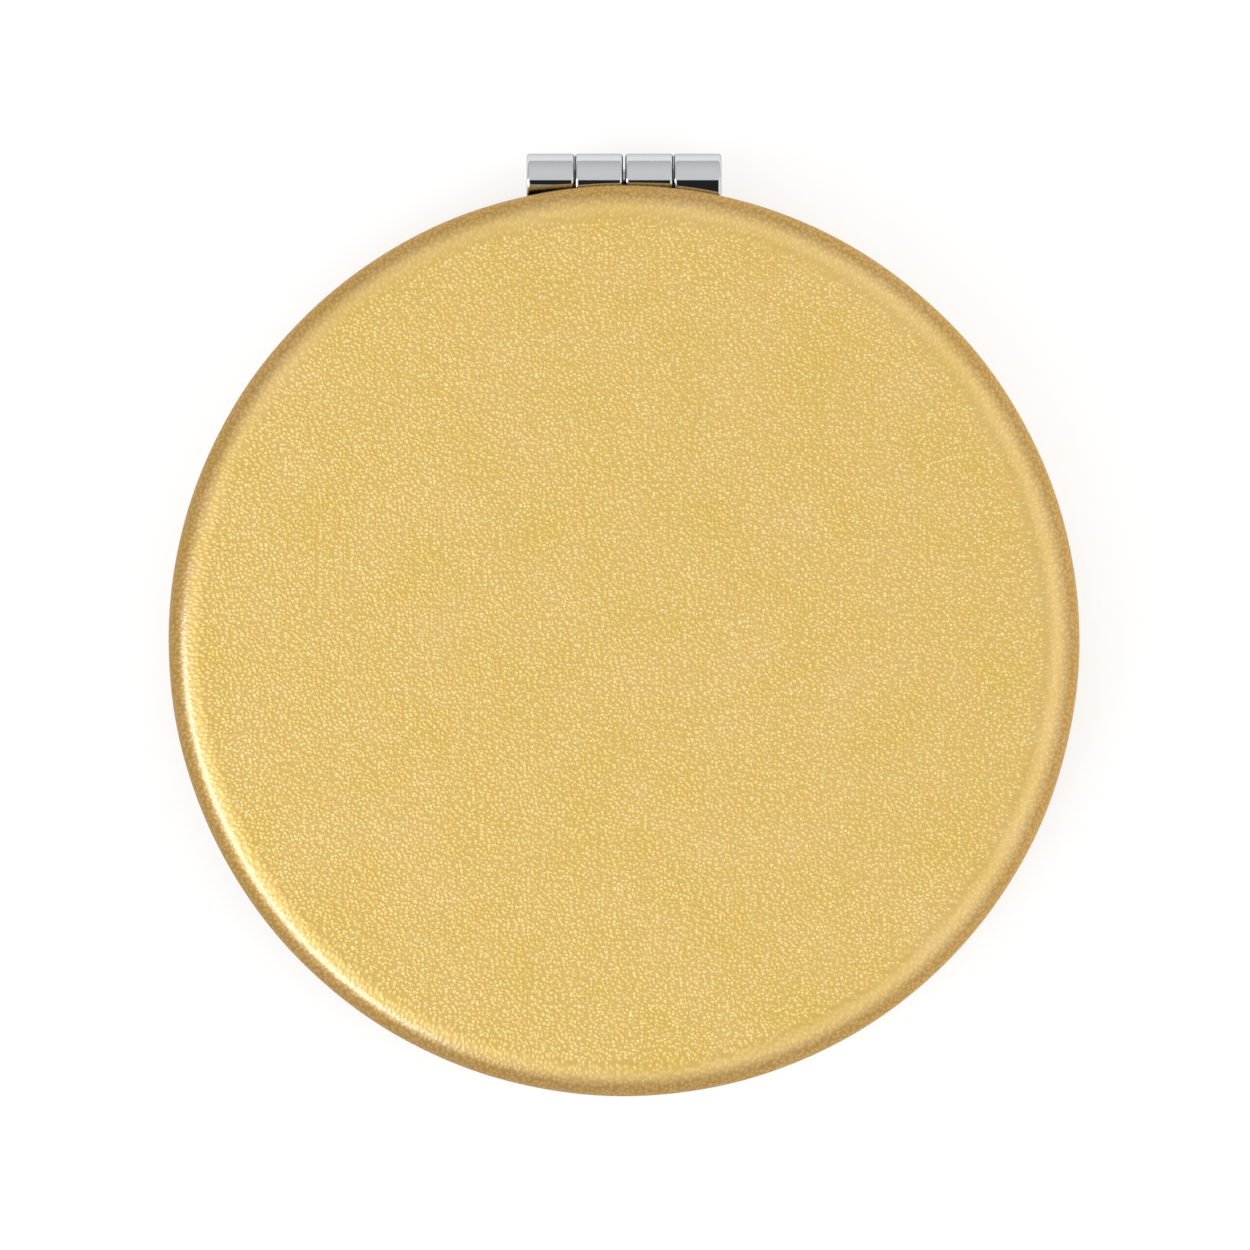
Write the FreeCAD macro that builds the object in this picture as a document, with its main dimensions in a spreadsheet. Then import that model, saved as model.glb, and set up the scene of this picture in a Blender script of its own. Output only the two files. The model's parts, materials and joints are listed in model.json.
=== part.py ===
import FreeCAD, Part
import math
import os

import Sketcher

# A round folding compact mirror that lies closed on its back.
# Its two halves are alike: each is a leather-wrapped shell that carries a plated tray with a mirror.
# A four-knuckle hinge joins the halves, and a pair of bar magnets keeps them shut.
#
# Frame: Z is the axis of the round covers, Y points at the hinge, and the back cover lies on Z = 0.
# Every piece of a half is drawn in the half's own frame, where h is the height above the plane in
# which the two halves meet. The lid stands on that plane, and the base hangs under it.

# Driving sizes, in millimetres: name, number, meaning
SIZES = [
    ("cover_radius", "35", "outer radius of the leather covers"),
    ("leather_thickness", "0.8", "coated leather of the covers"),
    ("foam_thickness", "0.85", "padding between leather and shell"),
    ("shell_sheet", "0.5", "sheet of the pressed shells"),
    ("shell_bend", "0.25", "inside bend radius of the shells"),
    ("hem_width", "1.7", "leather turned in under the lip of the shell"),
    ("tray_sheet", "0.4", "sheet of the plated mirror trays"),
    ("tray_bend", "0.3", "inside bend radius of the trays"),
    ("rim_gap", "0.1", "gap between the two rims when shut"),
    ("rim_setback", "0.4", "rim edge inside the leather's outer face"),
    ("rim_chamfer", "0.12", "broken outer edge of the rim"),
    ("rim_pocket", "2.7", "room between tray wall and shell wall"),
    ("mirror_recess", "0.5", "mirror face below the rim face"),
    ("mirror_clearance", "0.3", "gap between mirror edge and tray wall"),
    ("mirror_chamfer", "0.25", "seamed edge of the glass"),
    ("glass_thickness", "1.5", "mirror glass at its edge"),
    ("magnifier_curve_radius", "1000", "hollow of the magnifying mirror"),
    ("tape_thickness", "0.4", "adhesive disc under the mirror"),
    ("tape_setback", "1.5", "tape edge inside the mirror's edge"),
    ("hinge_width", "15", "length of the hinge over its four knuckles"),
    ("hinge_stand_off", "0.55", "hinge axis outside the covers' edge"),
    ("hinge_clearance", "0.3", "room around the knuckles in the covers"),
    ("barrel_radius", "2", "outside of the knuckles"),
    ("knuckle_gap", "0.2", "gap between neighbouring knuckles"),
    ("knuckle_round", "0.3", "rounded ends of the knuckles"),
    ("leaf_step", "0.45", "plate of a hinge leaf below the top of its knuckles"),
    ("leaf_clearance", "0.1", "gap between leaf and the bend of the tray wall"),
    ("arm_lap", "0.3", "length of a knuckle's arm on its plate"),
    ("pin_radius", "0.8", "hinge pin"),
    ("pin_clearance", "0.03", "radial play of the pin in the lid's knuckles"),
    ("pin_recess", "0.15", "pin end inside the knuckle's end face"),
    ("pin_chamfer", "0.15", "broken edge of the pin ends"),
    ("rivet_spacing", "11.2", "distance between the two rivets of a leaf"),
    ("rivet_radius", "0.55", "rivet shank"),
    ("rivet_head_radius", "0.85", "countersunk rivet head in the rim"),
    ("rivet_tail_radius", "0.8", "closed rivet end on the leaf"),
    ("rivet_tail_height", "0.35", "closed rivet end on the leaf"),
    ("magnet_length", "5", "bar magnet along the rim"),
    ("magnet_thickness", "1.5", "bar magnet"),
    ("magnet_clearance", "0.2", "room beside the magnet in the rim pocket"),
    ("magnet_chamfer", "0.15", "broken edges of the magnet"),
    ("cut_overrun", "1", "how far a cut runs past the face that it opens"),
]
KNUCKLES_PER_LEAF = 2
KNUCKLES = 2 * KNUCKLES_PER_LEAF  # those of the two leaves alternate

# Heights above the meeting plane, from the rim outwards
RIM_FACE = "(Sizes.rim_gap / 2)"
RIM_BACK = f"({RIM_FACE} + Sizes.tray_sheet)"
HEM_BACK = f"({RIM_BACK} + Sizes.leather_thickness)"
GLASS_FACE = f"({RIM_FACE} + Sizes.mirror_recess)"
GLASS_BACK = f"({GLASS_FACE} + Sizes.glass_thickness)"
TRAY_FLOOR = f"({GLASS_BACK} + Sizes.tape_thickness)"
TRAY_BACK = f"({TRAY_FLOOR} + Sizes.tray_sheet)"
SHELL_BACK = f"({TRAY_BACK} + Sizes.shell_sheet)"
FOAM_BACK = f"({SHELL_BACK} + Sizes.foam_thickness)"
COVER_FACE = f"({FOAM_BACK} + Sizes.leather_thickness)"

# Radii about the axis of the covers, from the edge inwards
SHELL_RADIUS = "(Sizes.cover_radius - Sizes.leather_thickness)"
SHELL_BORE = f"({SHELL_RADIUS} - Sizes.shell_sheet)"
TRAY_WALL = f"({SHELL_BORE} - Sizes.rim_pocket)"
TRAY_BORE = f"({TRAY_WALL} - Sizes.tray_sheet)"
MIRROR_RADIUS = f"({TRAY_BORE} - Sizes.mirror_clearance)"
TAPE_RADIUS = f"({MIRROR_RADIUS} - Sizes.tape_setback)"
HEM_RADIUS = "(Sizes.cover_radius - Sizes.hem_width)"
RIM_RADIUS = "(Sizes.cover_radius - Sizes.rim_setback)"

# The covers' rounded edge: leather over foam over the bent corner of the shell
SHELL_CORNER = "(Sizes.shell_bend + Sizes.shell_sheet)"
LEATHER_INSIDE_EDGE = f"({SHELL_CORNER} + Sizes.foam_thickness)"
LEATHER_EDGE = f"({LEATHER_INSIDE_EDGE} + Sizes.leather_thickness)"
EDGE_START = f"(Sizes.cover_radius - {LEATHER_EDGE})"
EDGE_FOOT = f"({COVER_FACE} - {LEATHER_EDGE})"

# The hinge, whose axis lies in the meeting plane
AXIS_Y = "(Sizes.cover_radius + Sizes.hinge_stand_off)"
NOTCH_RADIUS = "(Sizes.barrel_radius + Sizes.hinge_clearance)"
NOTCH_WIDTH = "(Sizes.hinge_width + 2 * Sizes.hinge_clearance)"
KNUCKLE_PITCH = f"((Sizes.hinge_width + Sizes.knuckle_gap) / {KNUCKLES})"
KNUCKLE_WIDTH = f"({KNUCKLE_PITCH} - Sizes.knuckle_gap)"
HALF_HINGE = "(Sizes.hinge_width / 2)"
LEAF_OUTSIDE = f"({AXIS_Y} - {NOTCH_RADIUS})"
LEAF_INSIDE_RADIUS = f"({TRAY_WALL} + Sizes.tray_bend + Sizes.leaf_clearance)"
LEAF_BACK = "(Sizes.barrel_radius - Sizes.leaf_step)"
LEAF_THICKNESS = f"({LEAF_BACK} - {RIM_BACK})"
ARM_END = f"({LEAF_OUTSIDE} - Sizes.arm_lap)"
RIVET_X = "(Sizes.rivet_spacing / 2)"
RIVET_Y = f"((sqrt({LEAF_INSIDE_RADIUS} ^ 2 - {RIVET_X} ^ 2) + {ARM_END}) / 2)"
RIVET_BACK = f"({LEAF_BACK} + Sizes.rivet_tail_height)"

COUNTER_CLOCKWISE = 1
CLOCKWISE = -1

doc = FreeCAD.newDocument("compact_mirror")
sheet = doc.addObject("Spreadsheet::Sheet", "Sizes")
for row, (alias, number, meaning) in enumerate(SIZES, start=1):
    sheet.set(f"A{row}", alias)
    sheet.set(f"B{row}", number)
    sheet.setAlias(f"B{row}", alias)
    sheet.set(f"C{row}", meaning)
doc.recompute()


def measure(formula):
    """The present value of a formula of the sheet's sizes."""
    return float(sheet.evalExpression(formula))


def new_body(label):
    body = doc.addObject("PartDesign::Body", label)
    body.Label = label
    return body


def origin_feature(body, role):
    return next(f for f in body.Origin.OriginFeatures if f.Role == role)


def new_sketch(body, plane, name, **offsets):
    """A sketch on one of the body's origin planes, moved by formulas along its own axes."""
    sketch = body.newObject("Sketcher::SketchObject", name)
    sketch.AttachmentSupport = [(origin_feature(body, plane), "")]
    sketch.MapMode = "FlatFace"
    for axis, formula in offsets.items():
        sketch.setExpression(f"AttachmentOffset.Base.{axis}", formula)
    return sketch


def constrain(sketch, formula, kind, *where):
    """One dimension of a sketch, bound to a formula."""
    index = sketch.addConstraint(Sketcher.Constraint(kind, *where, measure(formula)))
    sketch.setExpression(f"Constraints[{index}]", formula)


def arc_between(start, end, radius, turn, large):
    """The arc from start to end that turns the given way, by less than a half circle unless large."""
    chord = end - start
    left = FreeCAD.Vector(-chord.y, chord.x, 0).normalize()
    rise = math.sqrt(max(radius**2 - chord.Length**2 / 4, 0))
    side = -turn if large else turn
    centre = (start + end) / 2 + left * (side * rise)
    first, last = (start, end) if turn == COUNTER_CLOCKWISE else (end, start)
    angles = [math.atan2(p.y - centre.y, p.x - centre.x) for p in (first, last)]
    circle = Part.Circle(centre, FreeCAD.Vector(0, 0, 1), radius)
    return Part.ArcOfCircle(circle, angles[0], angles[1])


def draw_outline(sketch, corners):
    """A closed outline. A corner is a pair of formulas for its place, which may be followed by the
    radius, the turn and, past a half circle, the word large, of an arc to the next corner."""
    points = [FreeCAD.Vector(measure(c[0]), measure(c[1]), 0) for c in corners]
    ends = []
    for number, corner in enumerate(corners):
        start = points[number]
        end = points[(number + 1) % len(points)]
        if len(corner) == 2:
            edge = sketch.addGeometry(Part.LineSegment(start, end))
            ends.append((edge, 1, 2))
            continue
        radius, turn = corner[2:4]
        edge = sketch.addGeometry(arc_between(start, end, measure(radius), turn, "large" in corner))
        ends.append((edge, 1, 2) if turn == COUNTER_CLOCKWISE else (edge, 2, 1))
    for number, (edge, first, last) in enumerate(ends):
        following, following_first, _ = ends[(number + 1) % len(ends)]
        sketch.addConstraint(
            Sketcher.Constraint("Coincident", edge, last, following, following_first)
        )
    for (edge, first, _), corner in zip(ends, corners):
        constrain(sketch, corner[0], "DistanceX", -1, 1, edge, first)
        constrain(sketch, corner[1], "DistanceY", -1, 1, edge, first)
        if len(corner) > 2:
            constrain(sketch, corner[2], "Radius", edge)


def draw_circle(sketch, across, up, radius):
    centre = FreeCAD.Vector(measure(across), measure(up), 0)
    circle = Part.Circle(centre, FreeCAD.Vector(0, 0, 1), measure(radius))
    edge = sketch.addGeometry(circle)
    constrain(sketch, across, "DistanceX", -1, 1, edge, 3)
    constrain(sketch, up, "DistanceY", -1, 1, edge, 3)
    constrain(sketch, radius, "Radius", edge)


def revolve(body, sketch, kind="Revolution"):
    """A full turn of the sketch about its own upright axis, added or, as a Groove, cut away."""
    feature = body.newObject(f"PartDesign::{kind}", f"{body.Label}_{kind.lower()}")
    feature.Profile = sketch
    feature.ReferenceAxis = (sketch, ["V_Axis"])
    doc.recompute()
    return feature


def extrude(body, sketch, length, kind="Pad", symmetric=False):
    feature = body.newObject(f"PartDesign::{kind}", f"{body.Label}_{kind.lower()}")
    feature.Profile = sketch
    feature.SideType = "Symmetric" if symmetric else "One side"
    feature.setExpression("Length", length)
    doc.recompute()
    return feature


def require_cut(body, volume_before):
    """Stops the build if the body's last cut took nothing away."""
    if not body.Shape.Volume < volume_before:
        raise RuntimeError(f"a cut in {body.Label} removed nothing")


def mirror_left(body, feature):
    """Repeats a feature on the other side of the plane X = 0."""
    mirrored = body.newObject("PartDesign::Mirrored", f"{body.Label}_mirrored")
    mirrored.Originals = [feature]
    mirrored.MirrorPlane = (origin_feature(body, "YZ_Plane"), [""])
    body.Tip = mirrored
    doc.recompute()
    return mirrored


def dress(body, kind, size_property, size, wanted):
    """A fillet or chamfer on the edges of the body's last feature that wanted() picks."""
    base = body.Tip
    names = [f"Edge{n}" for n, edge in enumerate(base.Shape.Edges, start=1) if wanted(edge)]
    feature = body.newObject(f"PartDesign::{kind}", f"{body.Label}_{kind.lower()}")
    feature.Base = (base, names)
    feature.setExpression(size_property, size)
    doc.recompute()
    return feature


def cut_hinge_notch(body):
    """A window in the side wall of a cover, as wide and as high as the hinge needs."""
    before = body.Shape.Volume
    sketch = new_sketch(body, "YZ_Plane", f"{body.Label}_notch_sketch")
    past_edge = "(Sizes.cover_radius + Sizes.cut_overrun)"
    corners = [("0", "0"), (past_edge, "0"), (past_edge, NOTCH_RADIUS), ("0", NOTCH_RADIUS)]
    draw_outline(sketch, corners)
    extrude(body, sketch, NOTCH_WIDTH, "Pocket", symmetric=True)
    require_cut(body, before)


def make_leather_cover(label):
    """The coated leather: a flat face, a rounded edge, a straight side and a hem turned in at the rim."""
    body = new_body(label)
    sketch = new_sketch(body, "XZ_Plane", f"{label}_profile")
    draw_outline(
        sketch,
        [
            ("0", COVER_FACE),
            (EDGE_START, COVER_FACE, LEATHER_EDGE, CLOCKWISE),
            ("Sizes.cover_radius", EDGE_FOOT),
            ("Sizes.cover_radius", HEM_BACK, "Sizes.leather_thickness", CLOCKWISE),
            (SHELL_RADIUS, RIM_BACK),
            (HEM_RADIUS, RIM_BACK),
            (HEM_RADIUS, HEM_BACK),
            (SHELL_RADIUS, HEM_BACK),
            (SHELL_RADIUS, EDGE_FOOT, LEATHER_INSIDE_EDGE, COUNTER_CLOCKWISE),
            (EDGE_START, FOAM_BACK),
            ("0", FOAM_BACK),
        ],
    )
    revolve(body, sketch)
    cut_hinge_notch(body)
    return body


def make_foam_pad(label):
    """The padding disc under the flat face of the leather."""
    body = new_body(label)
    sketch = new_sketch(body, "XY_Plane", f"{label}_outline", z=SHELL_BACK)
    draw_circle(sketch, "0", "0", EDGE_START)
    extrude(body, sketch, "Sizes.foam_thickness")
    return body


def make_shell(label):
    """The pressed sheet cap that the leather is stretched over."""
    body = new_body(label)
    sketch = new_sketch(body, "XZ_Plane", f"{label}_profile")
    bend_start = f"({SHELL_RADIUS} - {SHELL_CORNER})"
    bend_foot = f"({SHELL_BACK} - {SHELL_CORNER})"
    draw_outline(
        sketch,
        [
            ("0", SHELL_BACK),
            (bend_start, SHELL_BACK, SHELL_CORNER, CLOCKWISE),
            (SHELL_RADIUS, bend_foot),
            (SHELL_RADIUS, HEM_BACK),
            (SHELL_BORE, HEM_BACK),
            (SHELL_BORE, bend_foot, "Sizes.shell_bend", COUNTER_CLOCKWISE),
            (bend_start, TRAY_BACK),
            ("0", TRAY_BACK),
        ],
    )
    revolve(body, sketch)
    cut_hinge_notch(body)
    return body


def make_tray(label):
    """The plated tray: a flat rim, a bent wall around the mirror and a floor behind it."""
    body = new_body(label)
    sketch = new_sketch(body, "XZ_Plane", f"{label}_profile")
    outside_bend = "(Sizes.tray_bend + Sizes.tray_sheet)"
    rim_bend_start = f"({TRAY_BORE} + {outside_bend})"
    rim_bend_foot = f"({RIM_FACE} + {outside_bend})"
    floor_bend_start = f"({TRAY_BORE} - Sizes.tray_bend)"
    floor_bend_foot = f"({TRAY_FLOOR} - Sizes.tray_bend)"
    rim_flat_end = f"({RIM_RADIUS} - Sizes.rim_chamfer)"
    draw_outline(
        sketch,
        [
            ("0", TRAY_FLOOR),
            (floor_bend_start, TRAY_FLOOR, "Sizes.tray_bend", CLOCKWISE),
            (TRAY_BORE, floor_bend_foot),
            (TRAY_BORE, rim_bend_foot, outside_bend, COUNTER_CLOCKWISE),
            (rim_bend_start, RIM_FACE),
            (rim_flat_end, RIM_FACE),
            (RIM_RADIUS, f"({RIM_FACE} + Sizes.rim_chamfer)"),
            (RIM_RADIUS, f"({RIM_BACK} - Sizes.rim_chamfer)"),
            (rim_flat_end, RIM_BACK),
            (rim_bend_start, RIM_BACK, "Sizes.tray_bend", CLOCKWISE),
            (TRAY_WALL, rim_bend_foot),
            (TRAY_WALL, floor_bend_foot, outside_bend, COUNTER_CLOCKWISE),
            (floor_bend_start, TRAY_BACK),
            ("0", TRAY_BACK),
        ],
    )
    revolve(body, sketch)

    before = body.Shape.Volume
    notch = new_sketch(body, "YZ_Plane", f"{label}_notch_sketch")
    draw_circle(notch, AXIS_Y, "0", NOTCH_RADIUS)
    extrude(body, notch, NOTCH_WIDTH, "Pocket", symmetric=True)
    require_cut(body, before)

    before = body.Shape.Volume
    hole = new_sketch(body, "XZ_Plane", f"{label}_rivet_hole", x=RIVET_X, z=f"-{RIVET_Y}")
    below = f"({RIM_FACE} - Sizes.cut_overrun)"
    above = f"({RIM_BACK} + Sizes.cut_overrun)"
    draw_outline(
        hole,
        [
            ("0", below),
            ("Sizes.rivet_head_radius", below),
            ("Sizes.rivet_head_radius", RIM_FACE),
            ("Sizes.rivet_radius", RIM_BACK),
            ("Sizes.rivet_radius", above),
            ("0", above),
        ],
    )
    mirror_left(body, revolve(body, hole, "Groove"))
    require_cut(body, before)
    return body


def make_mirror(label, magnifying):
    """A glass disc with seamed edges, flat or, for the magnifying one, hollowed to a shallow bowl."""
    body = new_body(label)
    sketch = new_sketch(body, "XZ_Plane", f"{label}_profile")
    face_radius = f"({MIRROR_RADIUS} - Sizes.mirror_chamfer)"
    curve = "Sizes.magnifier_curve_radius"
    hollow = f"({curve} - sqrt({curve} ^ 2 - {face_radius} ^ 2))"
    centre = ("0", f"({GLASS_FACE} + {hollow})", curve, CLOCKWISE) if magnifying else ("0", GLASS_FACE)
    draw_outline(
        sketch,
        [
            centre,
            (face_radius, GLASS_FACE),
            (MIRROR_RADIUS, f"({GLASS_FACE} + Sizes.mirror_chamfer)"),
            (MIRROR_RADIUS, f"({GLASS_BACK} - Sizes.mirror_chamfer)"),
            (face_radius, GLASS_BACK),
            ("0", GLASS_BACK),
        ],
    )
    revolve(body, sketch)
    return body


def make_mirror_tape(label):
    """The double-sided adhesive disc between the mirror and the floor of its tray."""
    body = new_body(label)
    sketch = new_sketch(body, "XY_Plane", f"{label}_outline", z=GLASS_BACK)
    draw_circle(sketch, "0", "0", TAPE_RADIUS)
    extrude(body, sketch, "Sizes.tape_thickness")
    return body


def make_hinge_leaf(label, bore_radius):
    """A cast leaf: a plate on the back of the rim, and two knuckles on arms that reach out to the axis."""
    body = new_body(label)
    plate = new_sketch(body, "XY_Plane", f"{label}_plate", z=RIM_BACK)
    inside_end = f"sqrt({LEAF_INSIDE_RADIUS} ^ 2 - {HALF_HINGE} ^ 2)"
    draw_outline(
        plate,
        [
            (f"-{HALF_HINGE}", LEAF_OUTSIDE),
            (f"-{HALF_HINGE}", inside_end, LEAF_INSIDE_RADIUS, CLOCKWISE),
            (HALF_HINGE, inside_end),
            (HALF_HINGE, LEAF_OUTSIDE),
        ],
    )
    extrude(body, plate, LEAF_THICKNESS)

    first_knuckle = f"({KNUCKLE_PITCH} - {HALF_HINGE})"
    profile = new_sketch(body, "YZ_Plane", f"{label}_knuckle", z=first_knuckle)
    arm_root = f"({AXIS_Y} - sqrt(Sizes.barrel_radius ^ 2 - {RIM_BACK} ^ 2))"
    draw_outline(
        profile,
        [
            (AXIS_Y, "Sizes.barrel_radius", "Sizes.barrel_radius", CLOCKWISE, "large"),
            (arm_root, RIM_BACK),
            (ARM_END, RIM_BACK),
            (ARM_END, "Sizes.barrel_radius"),
        ],
    )
    knuckle = extrude(body, profile, KNUCKLE_WIDTH)
    pattern = body.newObject("PartDesign::LinearPattern", f"{label}_knuckles")
    pattern.Originals = [knuckle]
    pattern.Direction = (origin_feature(body, "X_Axis"), [""])
    pattern.Mode = "Spacing"
    pattern.setExpression("Offset", f"2 * {KNUCKLE_PITCH}")
    pattern.Occurrences = KNUCKLES_PER_LEAF
    body.Tip = pattern
    doc.recompute()

    barrel_radius = measure("Sizes.barrel_radius")
    dress(body, "Fillet", "Radius", "Sizes.knuckle_round", lambda edge: ends_knuckle(edge, barrel_radius))

    before = body.Shape.Volume
    bore = new_sketch(body, "YZ_Plane", f"{label}_bore_sketch")
    draw_circle(bore, AXIS_Y, "0", bore_radius)
    extrude(body, bore, NOTCH_WIDTH, "Pocket", symmetric=True)
    require_cut(body, before)

    before = body.Shape.Volume
    hole = new_sketch(body, "XY_Plane", f"{label}_rivet_hole", z=LEAF_BACK)
    draw_circle(hole, RIVET_X, RIVET_Y, "Sizes.rivet_radius")
    mirror_left(body, extrude(body, hole, f"{LEAF_THICKNESS} + Sizes.cut_overrun", "Pocket"))
    require_cut(body, before)
    return body


def ends_knuckle(edge, barrel_radius):
    """Whether an edge is the rounded outline of a knuckle's end face: its barrel arc or its arm's top."""
    tolerance = Part.Vertex(0, 0, 0).Tolerance
    if isinstance(edge.Curve, Part.Circle):
        return math.isclose(edge.Curve.Radius, barrel_radius)
    across_hinge = abs(edge.tangentAt(edge.FirstParameter).y) > 1 - tolerance
    return across_hinge and all(math.isclose(v.Z, barrel_radius) for v in edge.Vertexes)


def make_hinge_rivets(label):
    """Two rivets with heads sunk flush in the rim and closed ends on the leaf."""
    body = new_body(label)
    sketch = new_sketch(body, "XZ_Plane", f"{label}_profile", x=RIVET_X, z=f"-{RIVET_Y}")
    draw_outline(
        sketch,
        [
            ("0", RIM_FACE),
            ("Sizes.rivet_head_radius", RIM_FACE),
            ("Sizes.rivet_radius", RIM_BACK),
            ("Sizes.rivet_radius", LEAF_BACK),
            ("Sizes.rivet_tail_radius", LEAF_BACK),
            ("Sizes.rivet_tail_radius", RIVET_BACK),
            ("0", RIVET_BACK),
        ],
    )
    mirror_left(body, revolve(body, sketch))
    return body


def make_magnet(label):
    """A bar magnet on the back of the rim, opposite the hinge."""
    body = new_body(label)
    room = f"({HEM_RADIUS} - {TRAY_WALL})"
    near = f"(-({TRAY_WALL} + Sizes.magnet_clearance))"
    far = f"(-({TRAY_WALL} + {room} - 2 * Sizes.magnet_clearance))"
    half_length = "(Sizes.magnet_length / 2)"
    sketch = new_sketch(body, "XY_Plane", f"{label}_outline", z=RIM_BACK)
    draw_outline(
        sketch,
        [
            (f"-{half_length}", near),
            (f"-{half_length}", far),
            (half_length, far),
            (half_length, near),
        ],
    )
    extrude(body, sketch, "Sizes.magnet_thickness")
    dress(body, "Chamfer", "Size", "Sizes.magnet_chamfer", lambda edge: True)
    return body


def make_hinge_pin(label):
    """The pin, held fast in the base's knuckles and free to turn in the lid's."""
    body = new_body(label)
    sketch = new_sketch(body, "YZ_Plane", f"{label}_outline")
    draw_circle(sketch, AXIS_Y, "0", "Sizes.pin_radius")
    extrude(body, sketch, "Sizes.hinge_width - 2 * Sizes.pin_recess", symmetric=True)
    dress(body, "Chamfer", "Size", "Sizes.pin_chamfer", lambda edge: isinstance(edge.Curve, Part.Circle))
    return body


def place_half(bodies, upside_down):
    """Moves the pieces of one half from its own frame to the meeting plane of the closed compact."""
    for body in bodies:
        if upside_down:
            body.Placement.Rotation = FreeCAD.Rotation(FreeCAD.Vector(0, 1, 0), 180)
        body.setExpression("Placement.Base.z", COVER_FACE)


def make_half(side, mirror_label, magnifying, bore_radius):
    return [
        make_leather_cover(f"{side}_leather_cover"),
        make_foam_pad(f"{side}_foam_pad"),
        make_shell(f"{side}_shell"),
        make_tray(f"{side}_mirror_tray"),
        make_mirror(mirror_label, magnifying),
        make_mirror_tape(f"{side}_mirror_tape"),
        make_hinge_leaf(f"{side}_hinge_leaf", bore_radius),
        make_hinge_rivets(f"{side}_hinge_rivets"),
        make_magnet(f"{side}_magnet"),
    ]


running_bore = "(Sizes.pin_radius + Sizes.pin_clearance)"
lid = make_half("lid", "lid_plain_mirror", False, running_bore)
base = make_half("base", "base_magnifying_mirror", True, "Sizes.pin_radius")
pin = make_hinge_pin("hinge_pin")
place_half(lid + [pin], upside_down=False)
place_half(base, upside_down=True)
doc.recompute()

for item in doc.Objects:
    if "Invalid" in item.State or "Error" in item.State:
        raise RuntimeError(f"{item.Label} failed: {item.State}")
for body in lid + base + [pin]:
    if body.Shape.isNull() or not body.Shape.isValid():
        raise RuntimeError(f"{body.Label} has no valid shape")

os.makedirs("parts", exist_ok=True)
for body in lid + base + [pin]:
    body.Shape.exportStep(f"parts/{body.Label}.step")
    print(f"{body.Label}: {len(body.Shape.Solids)} solid(s), {body.Shape.Volume:.1f} mm3")
print(f"closed thickness {2 * measure(COVER_FACE):.2f} mm, mirror radius {measure(MIRROR_RADIUS):.2f} mm")
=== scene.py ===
# %% [markdown]
# # A round compact mirror in gold leather
# The CAD model is the fixed frame: it says where every piece sits and how the lid turns. This lesson
# dresses it: a leather skin pulled over foam, a plated hinge, two mirrors in plated trays, and the light of
# a small product studio. We load the frame first. The dressed part must stay in it.

# %% Load the frame
import json
import math

import bpy
import numpy as np
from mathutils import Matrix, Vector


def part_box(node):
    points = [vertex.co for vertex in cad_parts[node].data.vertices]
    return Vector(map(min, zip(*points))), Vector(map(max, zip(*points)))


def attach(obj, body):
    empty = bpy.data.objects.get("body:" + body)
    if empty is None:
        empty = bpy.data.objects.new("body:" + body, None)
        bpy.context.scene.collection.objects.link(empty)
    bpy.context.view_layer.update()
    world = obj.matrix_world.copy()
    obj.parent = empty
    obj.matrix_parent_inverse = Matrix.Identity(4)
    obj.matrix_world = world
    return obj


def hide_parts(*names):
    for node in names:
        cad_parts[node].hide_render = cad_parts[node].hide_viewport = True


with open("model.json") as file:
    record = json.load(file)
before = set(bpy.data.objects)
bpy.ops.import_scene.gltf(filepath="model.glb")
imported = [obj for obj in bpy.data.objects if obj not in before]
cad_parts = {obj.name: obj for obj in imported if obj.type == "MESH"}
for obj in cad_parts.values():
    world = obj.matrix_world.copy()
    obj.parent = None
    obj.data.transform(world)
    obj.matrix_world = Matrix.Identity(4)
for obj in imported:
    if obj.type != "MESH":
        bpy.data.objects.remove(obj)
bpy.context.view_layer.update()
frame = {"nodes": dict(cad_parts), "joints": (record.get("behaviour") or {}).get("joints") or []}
scene = bpy.context.scene
MM = 0.001

# %% [markdown]
# ## Measures from the frame
# The two halves are the same half, one turned over about the line from the middle to the hinge. So we measure
# one half only, as radius r from the middle and height h above the plane in which the halves meet. Reading
# the numbers from the nodes' boxes, instead of typing them, keeps the looks and the CAD together when a size
# changes.

# %% Measure one half
def node_box(node):
    """The node's lowest and highest corners in millimetres."""
    low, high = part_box(node)
    return np.array(low) / MM, np.array(high) / MM


HINGE = next(joint for joint in frame["joints"] if joint["name"] == "lid_hinge")
AXIS_Y, MEETING_Z = HINGE["pos_m"][1] / MM, HINGE["pos_m"][2] / MM
cover_low, cover_high = node_box("lid_leather_cover")
foam_low, foam_high = node_box("lid_foam_pad")
shell_high = node_box("lid_shell")[1]
glass_low, glass_high = node_box("lid_plain_mirror")
leaf_high = node_box("lid_hinge_leaf")[1]
COVER_RADIUS = cover_high[0]
COVER_FACE = cover_high[2] - MEETING_Z
HEM_FACE = cover_low[2] - MEETING_Z
FOAM_RADIUS = foam_high[0]
FOAM_FACE, FOAM_BACK = foam_low[2] - MEETING_Z, foam_high[2] - MEETING_Z
LEATHER = COVER_FACE - FOAM_BACK
SHELL_RADIUS = shell_high[0]
GLASS_RADIUS = glass_high[0]
GLASS_FACE, GLASS_BACK = glass_low[2] - MEETING_Z, glass_high[2] - MEETING_Z
HINGE_HALF_WIDTH = leaf_high[0]
BARREL_RADIUS = leaf_high[1] - AXIS_Y
print(f"cover radius {COVER_RADIUS:.2f}, leather {LEATHER:.2f}, barrel radius {BARREL_RADIUS:.2f} mm")


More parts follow.
